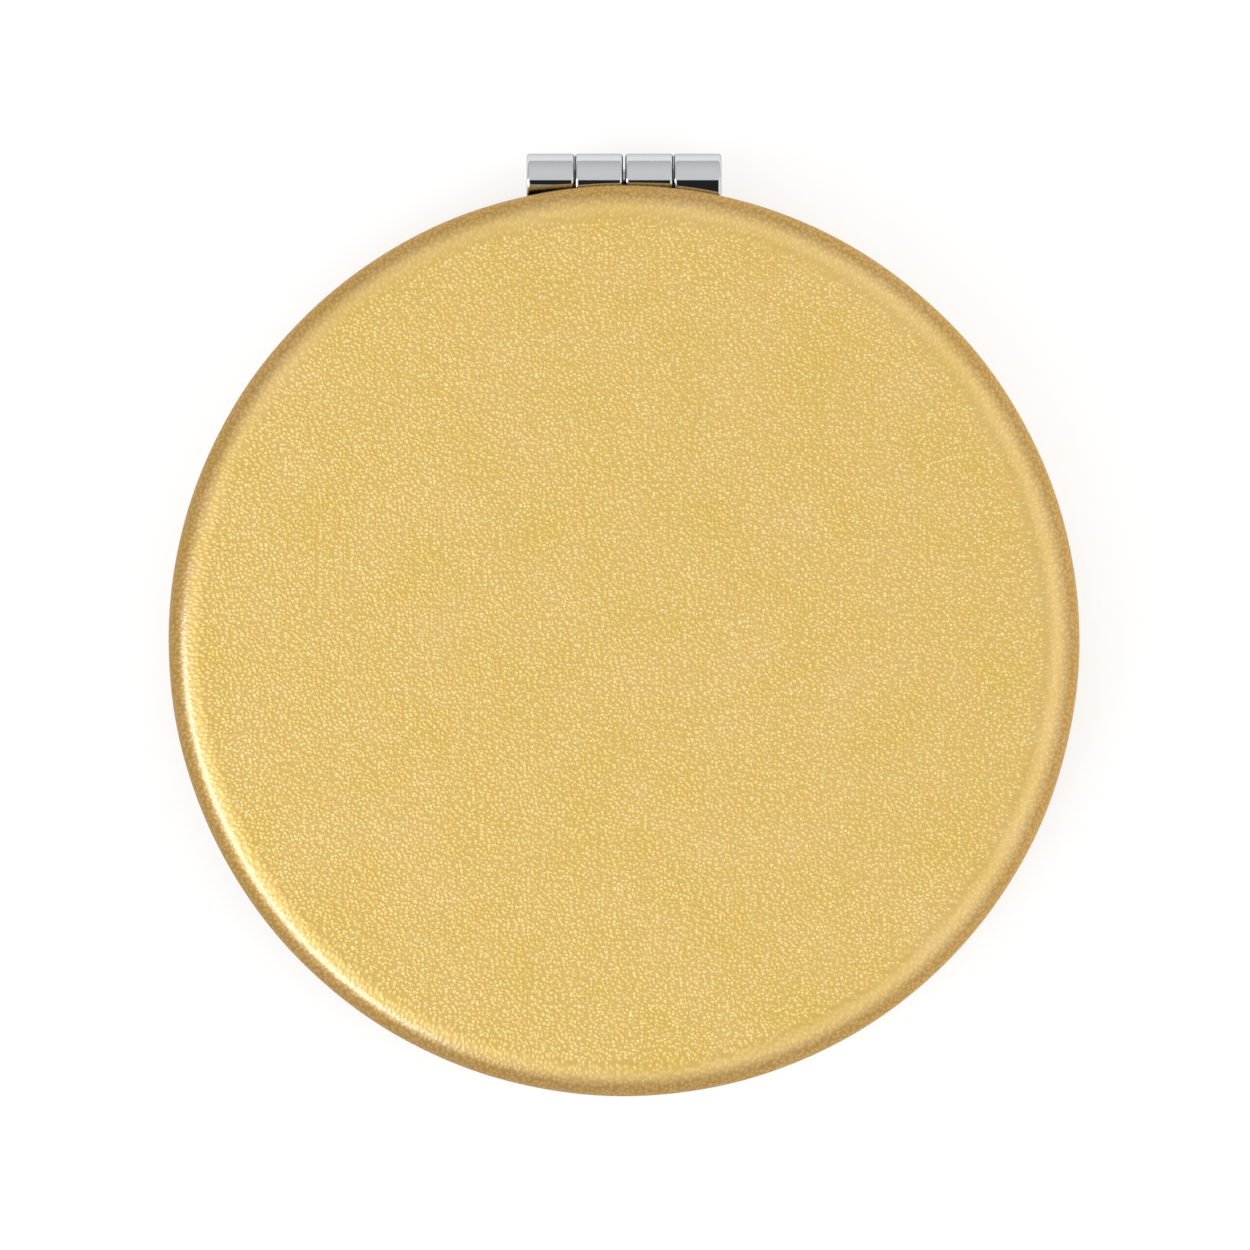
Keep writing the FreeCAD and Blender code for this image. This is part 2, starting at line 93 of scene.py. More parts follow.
# %% Put a point of one half into the frame
def place_half(points, half):
    """Turns points (x, y, h) of one half, in millimetres, into metres in the frame.

    The lid has its heights upwards from the meeting plane. The base is the lid turned 180 degrees about
    the line through the middle, towards the hinge, so its x and its heights change sign together."""
    side = 1.0 if half == "lid" else -1.0
    placed = points * np.array([side, 1.0, side])
    placed[..., 2] += MEETING_Z
    return placed * MM


print("the lid's face lies at z =", round(float(place_half(np.array([0, 0, COVER_FACE]), "lid")[2]), 5), "m")

# %% [markdown]
# ## The camera
# The photograph looks straight down on the lid with the hinge at the top, from so far that the hinge, which
# lies a little lower than the cover's edge, looks hardly smaller. We copy that with a very long lens. The
# cover's widest line sets the scale: there the picture is as wide as the cover's size in pixels asks for.

# %% Place the camera
PHOTO_PIXELS = 1250
DISC_PIXELS = 911.2
DISC_CENTRE = (624.1, 640.8)
EDGE_RADIUS = COVER_RADIUS - FOAM_RADIUS
WIDEST_Z = MEETING_Z + COVER_FACE - EDGE_RADIUS
LENS, SENSOR = 300.0, 36.0
NEAREST_SEEN = 0.01
mm_per_pixel = 2 * COVER_RADIUS / DISC_PIXELS
view_distance = PHOTO_PIXELS * mm_per_pixel * LENS / SENSOR
camera_data = bpy.data.cameras.new("photo_camera")
camera_data.lens = LENS
camera_data.sensor_width = SENSOR
camera_data.clip_start = NEAREST_SEEN
camera = bpy.data.objects.new("photo_camera", camera_data)
scene.collection.objects.link(camera)
camera.location = (
    (PHOTO_PIXELS / 2 - DISC_CENTRE[0]) * mm_per_pixel * MM,
    (DISC_CENTRE[1] - PHOTO_PIXELS / 2) * mm_per_pixel * MM,
    (WIDEST_Z + view_distance) * MM,
)
scene.camera = camera
print(f"{mm_per_pixel:.4f} mm per pixel, camera {view_distance:.0f} mm above the cover's edge")

# %% [markdown]
# ## From a grid of points to a mesh
# Every new piece here is a surface worked out on a grid: rows follow one parameter, columns the other. One
# helper turns such a grid into a mesh. It can join the last row or column to the first, and draw a row
# together into one point, as in the middle of a disc, so that no seam or pole stays open.

# %% A mesh from a grid
def mesh_from_grid(name, grid, wrap_rows=False, wrap_columns=True, poles=(False, False), keep=None, uv=None,
                   attributes=None, sharp_degrees=35.0):
    """Makes an object from a grid (rows, columns, 3) in metres: four neighbours give one face.

    The corners of a face run along the columns first, so the face looks along columns x rows. A pole joins
    its row into one vertex, and the faces there become triangles. uv and attributes hold one value for each
    grid point."""
    rows, columns = grid.shape[:2]
    ids = np.arange(rows * columns).reshape(rows, columns)
    ids[0] = ids[0, 0] if poles[0] else ids[0]
    ids[-1] = ids[-1, 0] if poles[1] else ids[-1]
    if wrap_rows:
        ids = np.vstack([ids, ids[:1]])
    if wrap_columns:
        ids = np.hstack([ids, ids[:, :1]])
    quads = np.stack([ids[:-1, :-1], ids[:-1, 1:], ids[1:, 1:], ids[1:, :-1]], axis=-1)
    quads = quads.reshape(-1, 4) if keep is None else quads[keep]
    corner = quads != np.roll(quads, -1, axis=1)
    corner_counts = corner.sum(axis=1)
    used, loops = np.unique(quads[corner], return_inverse=True)
    mesh = bpy.data.meshes.new(name)
    mesh.vertices.add(len(used))
    mesh.vertices.foreach_set("co", grid.reshape(-1, 3)[used].astype(np.float32).ravel())
    mesh.loops.add(len(loops))
    mesh.loops.foreach_set("vertex_index", loops.astype(np.int32).ravel())
    mesh.polygons.add(len(quads))
    mesh.polygons.foreach_set("loop_start", (np.cumsum(corner_counts) - corner_counts).astype(np.int32))
    mesh.polygons.foreach_set("use_smooth", np.ones(len(quads), dtype=bool))
    mesh.update(calc_edges=True)
    if uv is not None:
        layer = mesh.uv_layers.new(name="grain")
        layer.data.foreach_set("uv", uv.reshape(-1, 2)[used][loops].astype(np.float32).ravel())
    for key, values in (attributes or {}).items():
        layer = mesh.attributes.new(key, "FLOAT", "POINT")
        layer.data.foreach_set("value", values.reshape(-1)[used].astype(np.float32))
    mesh.set_sharp_from_angle(angle=math.radians(sharp_degrees))
    mesh.validate()
    piece = bpy.data.objects.new(name, mesh)
    scene.collection.objects.link(piece)
    return piece


print("grid helper ready")

# %% [markdown]
# ## The leather skin
# The cover is thin coated leather. It lies flat on a foam disc, bends over its soft edge, runs down the side
# of the pressed shell and is turned in round the shell's lip, where it is glued. It could be simulated as
# cloth, but leather that is glued down and pulled tight has no free folds to find. So the skin is one
# profile turned round the middle. Foam gives way most at its edge, so the face starts to fall early and
# slowly: a quarter of an ellipse shows that better than a quarter circle. Small seeded unevenness stands for
# the pull of hands, and puckers for the turned-in hem. The skin is cut away in a notch for the hinge.

# %% The profile of the skin
EDGE_FOOT = COVER_FACE - EDGE_RADIUS
EDGE_REACH = 3.0
BEND_START = COVER_RADIUS - EDGE_REACH
HINGE_ROOM = 0.3
NOTCH_HALF_WIDTH = HINGE_HALF_WIDTH + HINGE_ROOM
NOTCH_TOP = BARREL_RADIUS + HINGE_ROOM
HEM_WIDTH = 0.9
HEM_INNER_RADIUS = SHELL_RADIUS - HEM_WIDTH
FACE_RINGS, BEND_RINGS, WALL_RINGS, FOLD_RINGS, HEM_RINGS = 24, 18, 6, 8, 4


def skin_profile():
    """Radius and height along the skin, from the middle of the face to the end of the turned-in hem.

    A straight line over the face, a quarter ellipse as high as the edge's radius and reaching a little
    further in, a straight wall with a row at the notch's top, a quarter circle of the leather's thickness,
    and a straight hem."""
    bend = np.linspace(math.pi / 2, 0.0, BEND_RINGS + 1)[1:]
    fold = np.linspace(0.0, -math.pi / 2, FOLD_RINGS + 1)[1:]
    fold_centre = (COVER_RADIUS - LEATHER, HEM_FACE + LEATHER)
    wall = np.concatenate([[NOTCH_TOP], np.linspace(NOTCH_TOP, fold_centre[1], WALL_RINGS + 1)[1:]])
    radius = np.concatenate([
        np.linspace(0.0, BEND_START, FACE_RINGS + 1),
        BEND_START + EDGE_REACH * np.cos(bend),
        np.full(len(wall), COVER_RADIUS),
        fold_centre[0] + LEATHER * np.cos(fold),
        np.linspace(fold_centre[0], HEM_INNER_RADIUS, HEM_RINGS + 1)[1:],
    ])
    height = np.concatenate([
        np.full(FACE_RINGS + 1, COVER_FACE),
        EDGE_FOOT + EDGE_RADIUS * np.sin(bend),
        wall,
        fold_centre[1] + LEATHER * np.sin(fold),
        np.full(HEM_RINGS, HEM_FACE),
    ])
    return radius, height


profile_radius = skin_profile()[0]
print("skin profile:", len(profile_radius), "rows, hem ends at radius", round(float(profile_radius[-1]), 2))

# %% [markdown]
# The columns go round the cover. Two of them have to run along the straight sides of the notch, so the
# columns inside the notch are spaced between those sides, row by row, and the others share the rest of the
# round. The same arrays give a flat map of the grain in millimetres: out to the edge it is the plain plan
# view, and past it the distance runs on more slowly, so that the grain is stretched over the bend.

# %% The grid of the skin
ROUND_COLUMNS, NOTCH_COLUMNS = 510, 30
GRAIN_STRETCH = 0.7
BASE_MAP_SHIFT = 3 * COVER_RADIUS
PULL_DEPTH, PULL_WAVES = 0.045, np.arange(3, 25)
PUCKER_DEPTH, PUCKER_WAVES, PUCKER_WANDER = 0.04, 74, 5.0
SKIN_SEEDS = {"lid": 11, "base": 23}
GLUE_ROOM = 0.15
ROUNDING = 1e-6


def skin_angles(radius):
    """Angle of each grid point from the hinge side, clockwise seen on the half's face.

    The notch's side at radius r is asin(half width / r), held at its value for a small r towards the
    middle. Columns are even between the two sides, and even over the rest of the round."""
    notch = np.arcsin(NOTCH_HALF_WIDTH / np.maximum(radius, BEND_START))[:, None]
    inside = np.linspace(-1.0, 1.0, NOTCH_COLUMNS + 1)[None, :] * notch
    outside = notch + (2 * math.pi - 2 * notch) * np.linspace(0.0, 1.0, ROUND_COLUMNS + 1)[None, 1:-1]
    return np.hstack([inside, outside])


def pulled_unevenness(angle, seed):
    """A smooth seeded wave round the edge between 0 and 1: a sum of cosines k = 3 to 24 of falling height."""
    rng = np.random.default_rng(seed)
    phases = rng.uniform(0.0, 2 * math.pi, len(PULL_WAVES))
    total = (np.cos(PULL_WAVES * angle[..., None] + phases) / np.sqrt(PULL_WAVES)).sum(axis=-1)
    return (total - total.min()) / (total.max() - total.min())


def leather_skin(half, seed):
    """The skin of one half: the profile turned round the middle, pushed in by the pull and the puckers."""
    radius, height = skin_profile()
    angle = skin_angles(radius)
    slope_r, slope_h = np.gradient(radius), np.gradient(height)
    length = np.hypot(slope_r, slope_h)
    inward_r, inward_h = (slope_h / length)[:, None], (-slope_r / length)[:, None]
    edge = np.clip((COVER_FACE - height) / EDGE_RADIUS, 0.0, 1.0)[:, None]
    hem = np.clip((EDGE_FOOT - height) / (EDGE_FOOT - HEM_FACE), 0.0, 1.0)[:, None]
    bend = np.clip(np.degrees(np.arctan2(-slope_h, slope_r)) / 90.0, 0.0, 1.0)[:, None]
    jitter = pulled_unevenness(angle, seed + 1)
    pucker = 0.5 + 0.5 * np.cos(PUCKER_WAVES * angle + PUCKER_WANDER * jitter)
    push = PULL_DEPTH * edge * pulled_unevenness(angle, seed) + PUCKER_DEPTH * hem ** 2 * pucker * jitter
    r = radius[:, None] + push * inward_r
    h = height[:, None] + push * inward_h
    points = np.stack([r * np.sin(angle), r * np.cos(angle), h], axis=-1)
    travelled = np.concatenate([[0.0], np.cumsum(np.hypot(np.diff(radius), np.diff(height)))])
    mapped = np.minimum(travelled, BEND_START) + GRAIN_STRETCH * np.maximum(travelled - BEND_START, 0.0)
    shift = 0.0 if half == "lid" else BASE_MAP_SHIFT
    uv = np.stack([mapped[:, None] * np.sin(angle) + shift, mapped[:, None] * np.cos(angle)], axis=-1)
    columns = angle.shape[1]
    below_notch = (height[:-1] < NOTCH_TOP + ROUNDING)[:, None]
    in_notch = (np.arange(columns) < NOTCH_COLUMNS)[None, :]
    return mesh_from_grid(
        half + "_leather_skin", place_half(points, half), poles=(True, False), keep=~(below_notch & in_notch),
        uv=uv, attributes={"bend": np.broadcast_to(bend, angle.shape)}, sharp_degrees=60.0,
    )


skins = {half: leather_skin(half, seed) for half, seed in SKIN_SEEDS.items()}
for half, skin in skins.items():
    wall = skin.modifiers.new("leather thickness", "SOLIDIFY")
    wall.thickness = (LEATHER - GLUE_ROOM) * MM
    wall.offset = -1.0
    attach(skin, half)
    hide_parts(half + "_leather_cover")
    print(skin.name, len(skin.data.polygons), "faces before its thickness")

# %% [markdown]
# ## Lathed pieces: foam discs, mirrors, trays and rivets
# These pieces are round, so each is a profile turned round its own middle. The foam's edge is pressed round
# by the leather. The mirror glass has a ground bevel, and the one in the base is hollowed like a very
# shallow bowl, a part of a sphere of 1 m radius, so that a face in it looks larger.

# %% Turn a profile
LATHE_COLUMNS = 256
ALL_ROUND = np.linspace(0.0, 2 * math.pi, LATHE_COLUMNS, endpoint=False)


def lathed(name, radius, height, half, angle=ALL_ROUND, centre=(0.0, 0.0)):
    """A closed round piece: point = centre + (r sin a, r cos a, h) for each profile row and each angle a.

    The radius may also differ from angle to angle. The profile starts and ends on the middle line, the back
    first, and both ends are drawn together into a pole."""
    radius = radius.reshape(len(height), -1)
    x = centre[0] + radius * np.sin(angle)
    y = centre[1] + radius * np.cos(angle)
    points = np.stack(np.broadcast_arrays(x, y, height[:, None]), axis=-1)
    piece = mesh_from_grid(name, place_half(points, half), poles=(True, True))
    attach(piece, half)
    return piece


print("a lathed piece has", LATHE_COLUMNS, "columns")


# %% The foam discs
FOAM_EDGE_ROWS = 9


def foam_profile():
    """From the middle of the back out to a half round edge as thick as the foam, and in over the face."""
    thickness = FOAM_BACK - FOAM_FACE
    turn = np.linspace(math.pi / 2, -math.pi / 2, FOAM_EDGE_ROWS)
    round_r = FOAM_RADIUS - thickness / 2 + thickness / 2 * np.cos(turn)
    round_h = (FOAM_FACE + FOAM_BACK) / 2 + thickness / 2 * np.sin(turn)
    return np.concatenate([[0.0], round_r, [0.0]]), np.concatenate([[FOAM_BACK], round_h, [FOAM_FACE]])


foam_discs = []
for half in ("lid", "base"):
    disc = lathed(half + "_foam_disc", *foam_profile(), half)
    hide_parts(half + "_foam_pad")
    foam_discs.append(disc)
    print(disc.name, "under the leather, radius", round(float(FOAM_RADIUS), 2), "mm")

# %% The mirrors
BEVEL = 0.25
MAGNIFIER_RADIUS = 1000.0
FACE_ROWS = 24


def mirror_profile(bowl_radius):
    """The glass from the middle of its back, over its edge and bevel, to the middle of its face.

    In a bowl of radius R the face lies sqrt(R^2 - r^2) - sqrt(R^2 - rim^2) deep at radius r."""
    face_r = np.linspace(GLASS_RADIUS - BEVEL, 0.0, FACE_ROWS)
    depth = np.zeros(FACE_ROWS)
    if bowl_radius:
        depth = np.sqrt(bowl_radius ** 2 - face_r ** 2) - math.sqrt(bowl_radius ** 2 - face_r[0] ** 2)
    radius = np.concatenate([[0.0, GLASS_RADIUS - BEVEL, GLASS_RADIUS, GLASS_RADIUS], face_r])
    height = np.concatenate([
        [GLASS_BACK, GLASS_BACK, GLASS_BACK - BEVEL, GLASS_FACE + BEVEL],
        GLASS_FACE + depth,
    ])
    return radius, height


mirrors = {}
for half, node, bowl_radius in (
    ("lid", "lid_plain_mirror", None),
    ("base", "base_magnifying_mirror", MAGNIFIER_RADIUS),
):
    glass = lathed(half + "_mirror_glass", *mirror_profile(bowl_radius), half)
    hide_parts(node)
    mirrors[half] = glass
    print(glass.name, len(glass.data.polygons), "faces")

# %% [markdown]
# Each mirror sits in a tray that is pressed from one sheet: a flat rim, a rounded step down, a short wall and
# a floor. Chrome shows every flat facet as a hard glint, so the tray is drawn again as a smooth lathed
# surface on the CAD tray's sizes. At the hinge the rim is cut off straight to clear the knuckles, so there
# the columns reach less far out.

# %% The profile of a tray
TRAY_SHEET, TRAY_BEND, RIM_CHAMFER = 0.4, 0.3, 0.12
MIRROR_ROOM = 0.3
BEND_STEPS = 8
tray_low, tray_high = node_box("lid_mirror_tray")
RIM_RADIUS = tray_high[0]
RIM_FACE, TRAY_BACK = tray_low[2] - MEETING_Z, tray_high[2] - MEETING_Z
RIM_BACK, TRAY_FLOOR = RIM_FACE + TRAY_SHEET, TRAY_BACK - TRAY_SHEET
OUTER_BEND = TRAY_BEND + TRAY_SHEET
TRAY_BORE = GLASS_RADIUS + MIRROR_ROOM
RIM_START = TRAY_BORE + OUTER_BEND


def bent_corner(centre, radius, start, end):
    """Rows (r, h) on an arc of that radius round the centre, between two turns in degrees."""
    turn = np.radians(np.linspace(start, end, BEND_STEPS + 1))
    return np.array(centre) + radius * np.stack([np.cos(turn), np.sin(turn)], axis=-1)


def tray_profile():
    """Rows (r, h) of the sheet: out along its back, round the rim's broken edge, and back over its face.

    The step's two bends share a centre on both faces of the sheet, and so do the floor's two bends."""
    floor_centre = (TRAY_BORE - TRAY_BEND, TRAY_FLOOR - TRAY_BEND)
    step_centre = (RIM_START, RIM_FACE + OUTER_BEND)
    edge = [
        (RIM_RADIUS - RIM_CHAMFER, RIM_BACK),
        (RIM_RADIUS, RIM_BACK - RIM_CHAMFER),
        (RIM_RADIUS, RIM_FACE + RIM_CHAMFER),
        (RIM_RADIUS - RIM_CHAMFER, RIM_FACE),
    ]
    rows = np.concatenate([
        [(0.0, TRAY_BACK)],
        bent_corner(floor_centre, OUTER_BEND, 90.0, 0.0),
        bent_corner(step_centre, TRAY_BEND, 180.0, 270.0),
        edge,
        bent_corner(step_centre, OUTER_BEND, 270.0, 180.0),
        bent_corner(floor_centre, TRAY_BEND, 0.0, 90.0),
        [(0.0, TRAY_FLOOR)],
    ])
    return rows[:, 0], rows[:, 1]


print("tray profile:", len(tray_profile()[0]), "rows, rim from radius", round(float(RIM_START), 2))

# %% The trays
RIM_CUT_Y = AXIS_Y - BARREL_RADIUS - HINGE_ROOM
CUT_COLUMNS = 24
CUT_SIDE_LEAN = math.radians(0.15)


def tray(half):
    """The tray's profile turned round, with the flat rim drawn in to the straight cut y = constant.

    In the cut the rim ends at y / cos a instead of its own radius, and its rows share the shorter way."""
    radius, height = tray_profile()
    side = math.asin(NOTCH_HALF_WIDTH / RIM_RADIUS)
    in_cut = np.linspace(-side, side, CUT_COLUMNS + 1)
    rest = np.linspace(side + CUT_SIDE_LEAN, 2 * math.pi - side - CUT_SIDE_LEAN, LATHE_COLUMNS)
    angle = np.concatenate([in_cut, rest])
    reach = np.concatenate([RIM_CUT_Y / np.cos(in_cut), np.full(LATHE_COLUMNS, RIM_RADIUS)])
    on_rim = np.maximum(radius - RIM_START, 0.0) / (RIM_RADIUS - RIM_START)
    drawn_in = np.minimum(radius, RIM_START)[:, None] + on_rim[:, None] * (reach - RIM_START)
    return lathed(half + "_plated_tray", drawn_in, height, half, angle)


trays = [tray(half) for half in ("lid", "base")]
for half, piece in zip(("lid", "base"), trays):
    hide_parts(half + "_mirror_tray")
    print(piece.name, len(piece.data.polygons), "faces")

# %% [markdown]
# Two rivets hold each half's hinge to its tray. Their heads are sunk into the rim and polished almost flush,
# so only a faint ring shows. A head that stands out by a few hundredths of a millimetre gives that ring.

# %% The rivets
rivet_low, rivet_high = node_box("lid_hinge_rivets")
HEAD_RADIUS = (rivet_high[1] - rivet_low[1]) / 2
RIVET_X, RIVET_Y = rivet_high[0] - HEAD_RADIUS, (rivet_high[1] + rivet_low[1]) / 2
RIVET_END = rivet_high[2] - MEETING_Z
SHANK_RADIUS, TAIL_RADIUS, TAIL_HEIGHT, HEAD_RISE = 0.55, 0.8, 0.35, 0.03
RIVET_COLUMNS = 48


def rivet(half, side, x):
    """A rivet from its closed end to its head: a quarter ellipse, the shank, a cone and a low parabola."""
    turn = np.linspace(math.pi / 2, 0.0, BEND_STEPS + 1)
    head = np.linspace(HEAD_RADIUS, 0.0, BEND_STEPS + 1)
    radius = np.concatenate([TAIL_RADIUS * np.cos(turn), [SHANK_RADIUS, SHANK_RADIUS], head])
    height = np.concatenate([
        RIVET_END - TAIL_HEIGHT * (1 - np.sin(turn)),
        [RIVET_END - TAIL_HEIGHT, RIM_BACK],
        RIM_FACE - HEAD_RISE * (1 - (head / HEAD_RADIUS) ** 2),
    ])
    angle = np.linspace(0.0, 2 * math.pi, RIVET_COLUMNS, endpoint=False)
    return lathed(f"{half}_{side}_rivet", radius, height, half, angle, (x, RIVET_Y))


rivets = []
for half in ("lid", "base"):
    for side, x in (("left", -RIVET_X), ("right", RIVET_X)):
        piece = rivet(half, side, x)
        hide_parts(half + "_hinge_rivets")
        rivets.append(piece)
print("rivets:", [piece.name for piece in rivets])

# %% [markdown]
# ## The hinge
# The hinge is what makes this compact: four plated knuckles, two on each half, on one pin. Each knuckle is a
# short round barrel with an arm that dips in under the cover's edge. Its ends are rounded off, which gives
# the small bright corners. The section is drawn once, and carried along the pin with an inset that shrinks
# it into the round ends. The pin's bore closes it, so a knuckle is one ring-shaped grid.

# %% The section of a knuckle
ARC_POINTS, SIDE_POINTS = 96, 6
ARM_LAP = 0.3
ARM_FOOT = HEM_FACE
ARM_SLOPE = math.radians(9.0)
ARM_INNER_Y = RIM_CUT_Y - ARM_LAP
BORE_RADIUS = 0.82


def knuckle_section(inset):
    """The outline (y, h) of a knuckle, shrunk by the inset: an arc, and an arm that leaves it at its top.

    The arc runs clockwise from a little behind the crest, where it is as steep as the arm, to the height
    of the arm's foot; then straight lines go along the foot, up the arm's end and back up the arm's top."""
    radius = BARREL_RADIUS - inset
    arc_start = math.pi / 2 + ARM_SLOPE
    arc_end = -math.pi - math.asin(ARM_FOOT / radius)
    arc = np.linspace(arc_start, arc_end, ARC_POINTS)
    along = np.linspace(0.0, 1.0, SIDE_POINTS + 1)[1:]
    start_y, start_h = AXIS_Y + radius * math.cos(arc_start), radius * math.sin(arc_start)
    end_y = AXIS_Y + radius * math.cos(arc_end)
    arm_top = start_h - (start_y - ARM_INNER_Y) * math.tan(ARM_SLOPE)
    y = np.concatenate([
        AXIS_Y + radius * np.cos(arc),
        end_y + (ARM_INNER_Y - end_y) * along,
        np.full(SIDE_POINTS, ARM_INNER_Y),
        ARM_INNER_Y + (start_y - ARM_INNER_Y) * along[:-1],
    ])
    h = np.concatenate([
        radius * np.sin(arc),
        np.full(SIDE_POINTS, ARM_FOOT),
        ARM_FOOT + (arm_top - ARM_FOOT) * along,
        arm_top + (start_h - arm_top) * along[:-1],
    ])
    return y, h


def bore_section():
    """The bore's circle, with one point for each point of the outline, at angles that face them."""
    y, h = knuckle_section(0.0)
    turn = np.linspace(math.pi / 2 + ARM_SLOPE, ARM_SLOPE - 3 * math.pi / 2, len(y), endpoint=False)
    return AXIS_Y + BORE_RADIUS * np.cos(turn), BORE_RADIUS * np.sin(turn)


print("knuckle section:", len(knuckle_section(0.0)[0]), "points")

# %% The four knuckles
KNUCKLES = 4
KNUCKLE_GAPS = np.array([0.03, 0.17, 0.03])
END_ROUND = 0.24
END_STEPS = 7
END_HOLD = 0.06
GAP_SHADE_TURN = math.radians(50.0)
KNUCKLE_WIDTH = (2 * HINGE_HALF_WIDTH - KNUCKLE_GAPS.sum()) / KNUCKLES


def knuckle(name, left, right, half, dark_ends):
    """One knuckle between two places along the pin: the section carried along, with round ends.

    At the turn t from 0 to 90 degrees the end is round(1 - cos t) in from the end face and the section is
    shrunk by round(1 - sin t). One more loop right behind the round end keeps the shading of the long
    straight part even. The bore's loops before and after close the ring. An attribute marks the steep part
    of the ends that face another knuckle, which the chrome darkens as painted shade of the narrow gaps."""
    turn = np.linspace(0.0, math.pi / 2, END_STEPS)
    travel = np.append(END_ROUND * (1 - np.cos(turn)), END_ROUND + END_HOLD)
    inset = np.append(END_ROUND * (1 - np.sin(turn)), 0.0)
    stations = np.concatenate([left + travel, (right - travel)[::-1]])
    insets = np.concatenate([inset, inset[::-1]])
    loops = [(left, bore_section())]
    loops += [(x, knuckle_section(shrink)) for x, shrink in zip(stations, insets)]
    loops += [(right, bore_section())]
    points = np.stack([np.stack([np.full(len(y), x), y, h], axis=-1)[::-1] for x, (y, h) in loops])
    # The steep end loops that face another knuckle carry the painted shade of the narrow gaps.
    steep = np.concatenate([[1.0], turn < GAP_SHADE_TURN, [0.0]])
    gap_shade = np.concatenate([steep * dark_ends[0], (steep * dark_ends[1])[::-1]])
    piece = mesh_from_grid(
        name, place_half(points, half), wrap_rows=True, sharp_degrees=50.0,
        attributes={"gap_shade": np.broadcast_to(gap_shade[:, None], points.shape[:2])},
    )
    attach(piece, half)
    return piece


knuckles = []
for number in range(KNUCKLES):
    half = "base" if number % 2 == 0 else "lid"
    left = -HINGE_HALF_WIDTH + number * KNUCKLE_WIDTH + KNUCKLE_GAPS[:number].sum()
    right = left + KNUCKLE_WIDTH
    dark_ends = (number > 0, number < KNUCKLES - 1)
    if half == "base":
        left, right, dark_ends = -right, -left, dark_ends[::-1]
    knuckles.append(knuckle(f"hinge_knuckle_{number + 1}", left, right, half, dark_ends))
    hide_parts(half + "_hinge_leaf")
print("knuckles:", [piece.name for piece in knuckles], "each", round(float(KNUCKLE_WIDTH), 2), "mm long")

# %% [markdown]
# Behind each tray's rim lies the plate that carries its half's two knuckles, held by the rivets. Little of it
# shows. A cut-out box would do, but a rectangle that is carried along the hinge follows the round of the tray
# by itself.

# %% The hinge plates
PLATE_ROOM = 0.1
PLATE_INNER_RADIUS = RIM_START + PLATE_ROOM
PLATE_STEP = 0.45
PLATE_COLUMNS = 31


def hinge_plate(half):
    """The plate that is riveted behind the rim: a rectangle (y, h) carried along x.

    Its outer edge is straight, and its inner edge follows the round of the tray: y = sqrt(R^2 - x^2). Each
    end is closed towards a point in the middle of its rectangle."""
    x = np.linspace(-HINGE_HALF_WIDTH, HINGE_HALF_WIDTH, PLATE_COLUMNS)
    inner = np.sqrt(PLATE_INNER_RADIUS ** 2 - x ** 2)
    outer = np.full(PLATE_COLUMNS, RIM_CUT_Y)
    foot = np.full(PLATE_COLUMNS, ARM_FOOT)
    top = np.full(PLATE_COLUMNS, BARREL_RADIUS - PLATE_STEP)
    ring_y = np.stack([(inner + outer) / 2, outer, outer, inner, inner])
    ring_h = np.stack([foot, foot, top, top, foot])
    points = np.stack([np.broadcast_to(x, ring_y.shape), ring_y, ring_h], axis=-1).transpose(1, 0, 2)
    ends = points[[0, -1]].mean(axis=1, keepdims=True).repeat(points.shape[1], axis=1)
    points = np.concatenate([ends[:1], points, ends[1:]])
    piece = mesh_from_grid(half + "_hinge_plate", place_half(points, half), poles=(True, True))
    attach(piece, half)
    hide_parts(half + "_hinge_leaf")
    return piece


plates = [hinge_plate(half) for half in ("lid", "base")]
print("plates:", [plate.name for plate in plates])

# %% [markdown]
# ## Materials
# Each material starts from what the real one is. Colours are written as sRGB hex values, which is what a
# colour picker shows, and turned into the linear values that shaders count in. One small helper adds a node
# with its settings and links, so that a material reads as a short list of what feeds what.

# %% Helpers for materials
def linear(hex_colour):
    """sRGB hex to linear RGBA: divide by 12.92 near black, else ((c + 0.055) / 1.055) ^ 2.4."""
    srgb = np.array([int(hex_colour[i:i + 2], 16) for i in (1, 3, 5)]) / 255
    return (*np.where(srgb <= 0.04045, srgb / 12.92, ((srgb + 0.055) / 1.055) ** 2.4), 1.0)


def grey(level):
    """A linear grey of that level as RGBA."""
    return (level, level, level, 1.0)


def add_node(tree, kind, inputs=None, stops=(), **settings):
    """Adds a node, sets its properties, and gives each named input a value or a link from a socket.

    A colour ramp also takes its stops, which are pairs of a position and a colour."""
    node = tree.nodes.new(kind)
    for key, value in settings.items():
        setattr(node, key, value)
    for key, value in (inputs or {}).items():
        if isinstance(value, bpy.types.NodeSocket):
            tree.links.new(value, node.inputs[key])
        else:
            node.inputs[key].default_value = value
    for number, (position, colour) in enumerate(stops):
        elements = node.color_ramp.elements
        element = elements[number] if number < len(elements) else elements.new(position)
        element.position = position
        element.color = colour
    return node


def new_material(name):
    """An empty node material with its output, ready for a shader."""
    material = bpy.data.materials.new(name)
    material.use_nodes = True
    material.node_tree.nodes.clear()
    output = add_node(material.node_tree, "ShaderNodeOutputMaterial")
    return material, material.node_tree, output.inputs["Surface"]


def dress(objects, material):
    """Gives the objects this one material in all their slots."""
    for piece in objects:
        piece.data.materials.clear()
        piece.data.materials.append(material)
    print(material.name, "on", ", ".join(piece.name for piece in objects))


print("#808080 is", round(float(linear("#808080")[0]), 3), "in linear light")
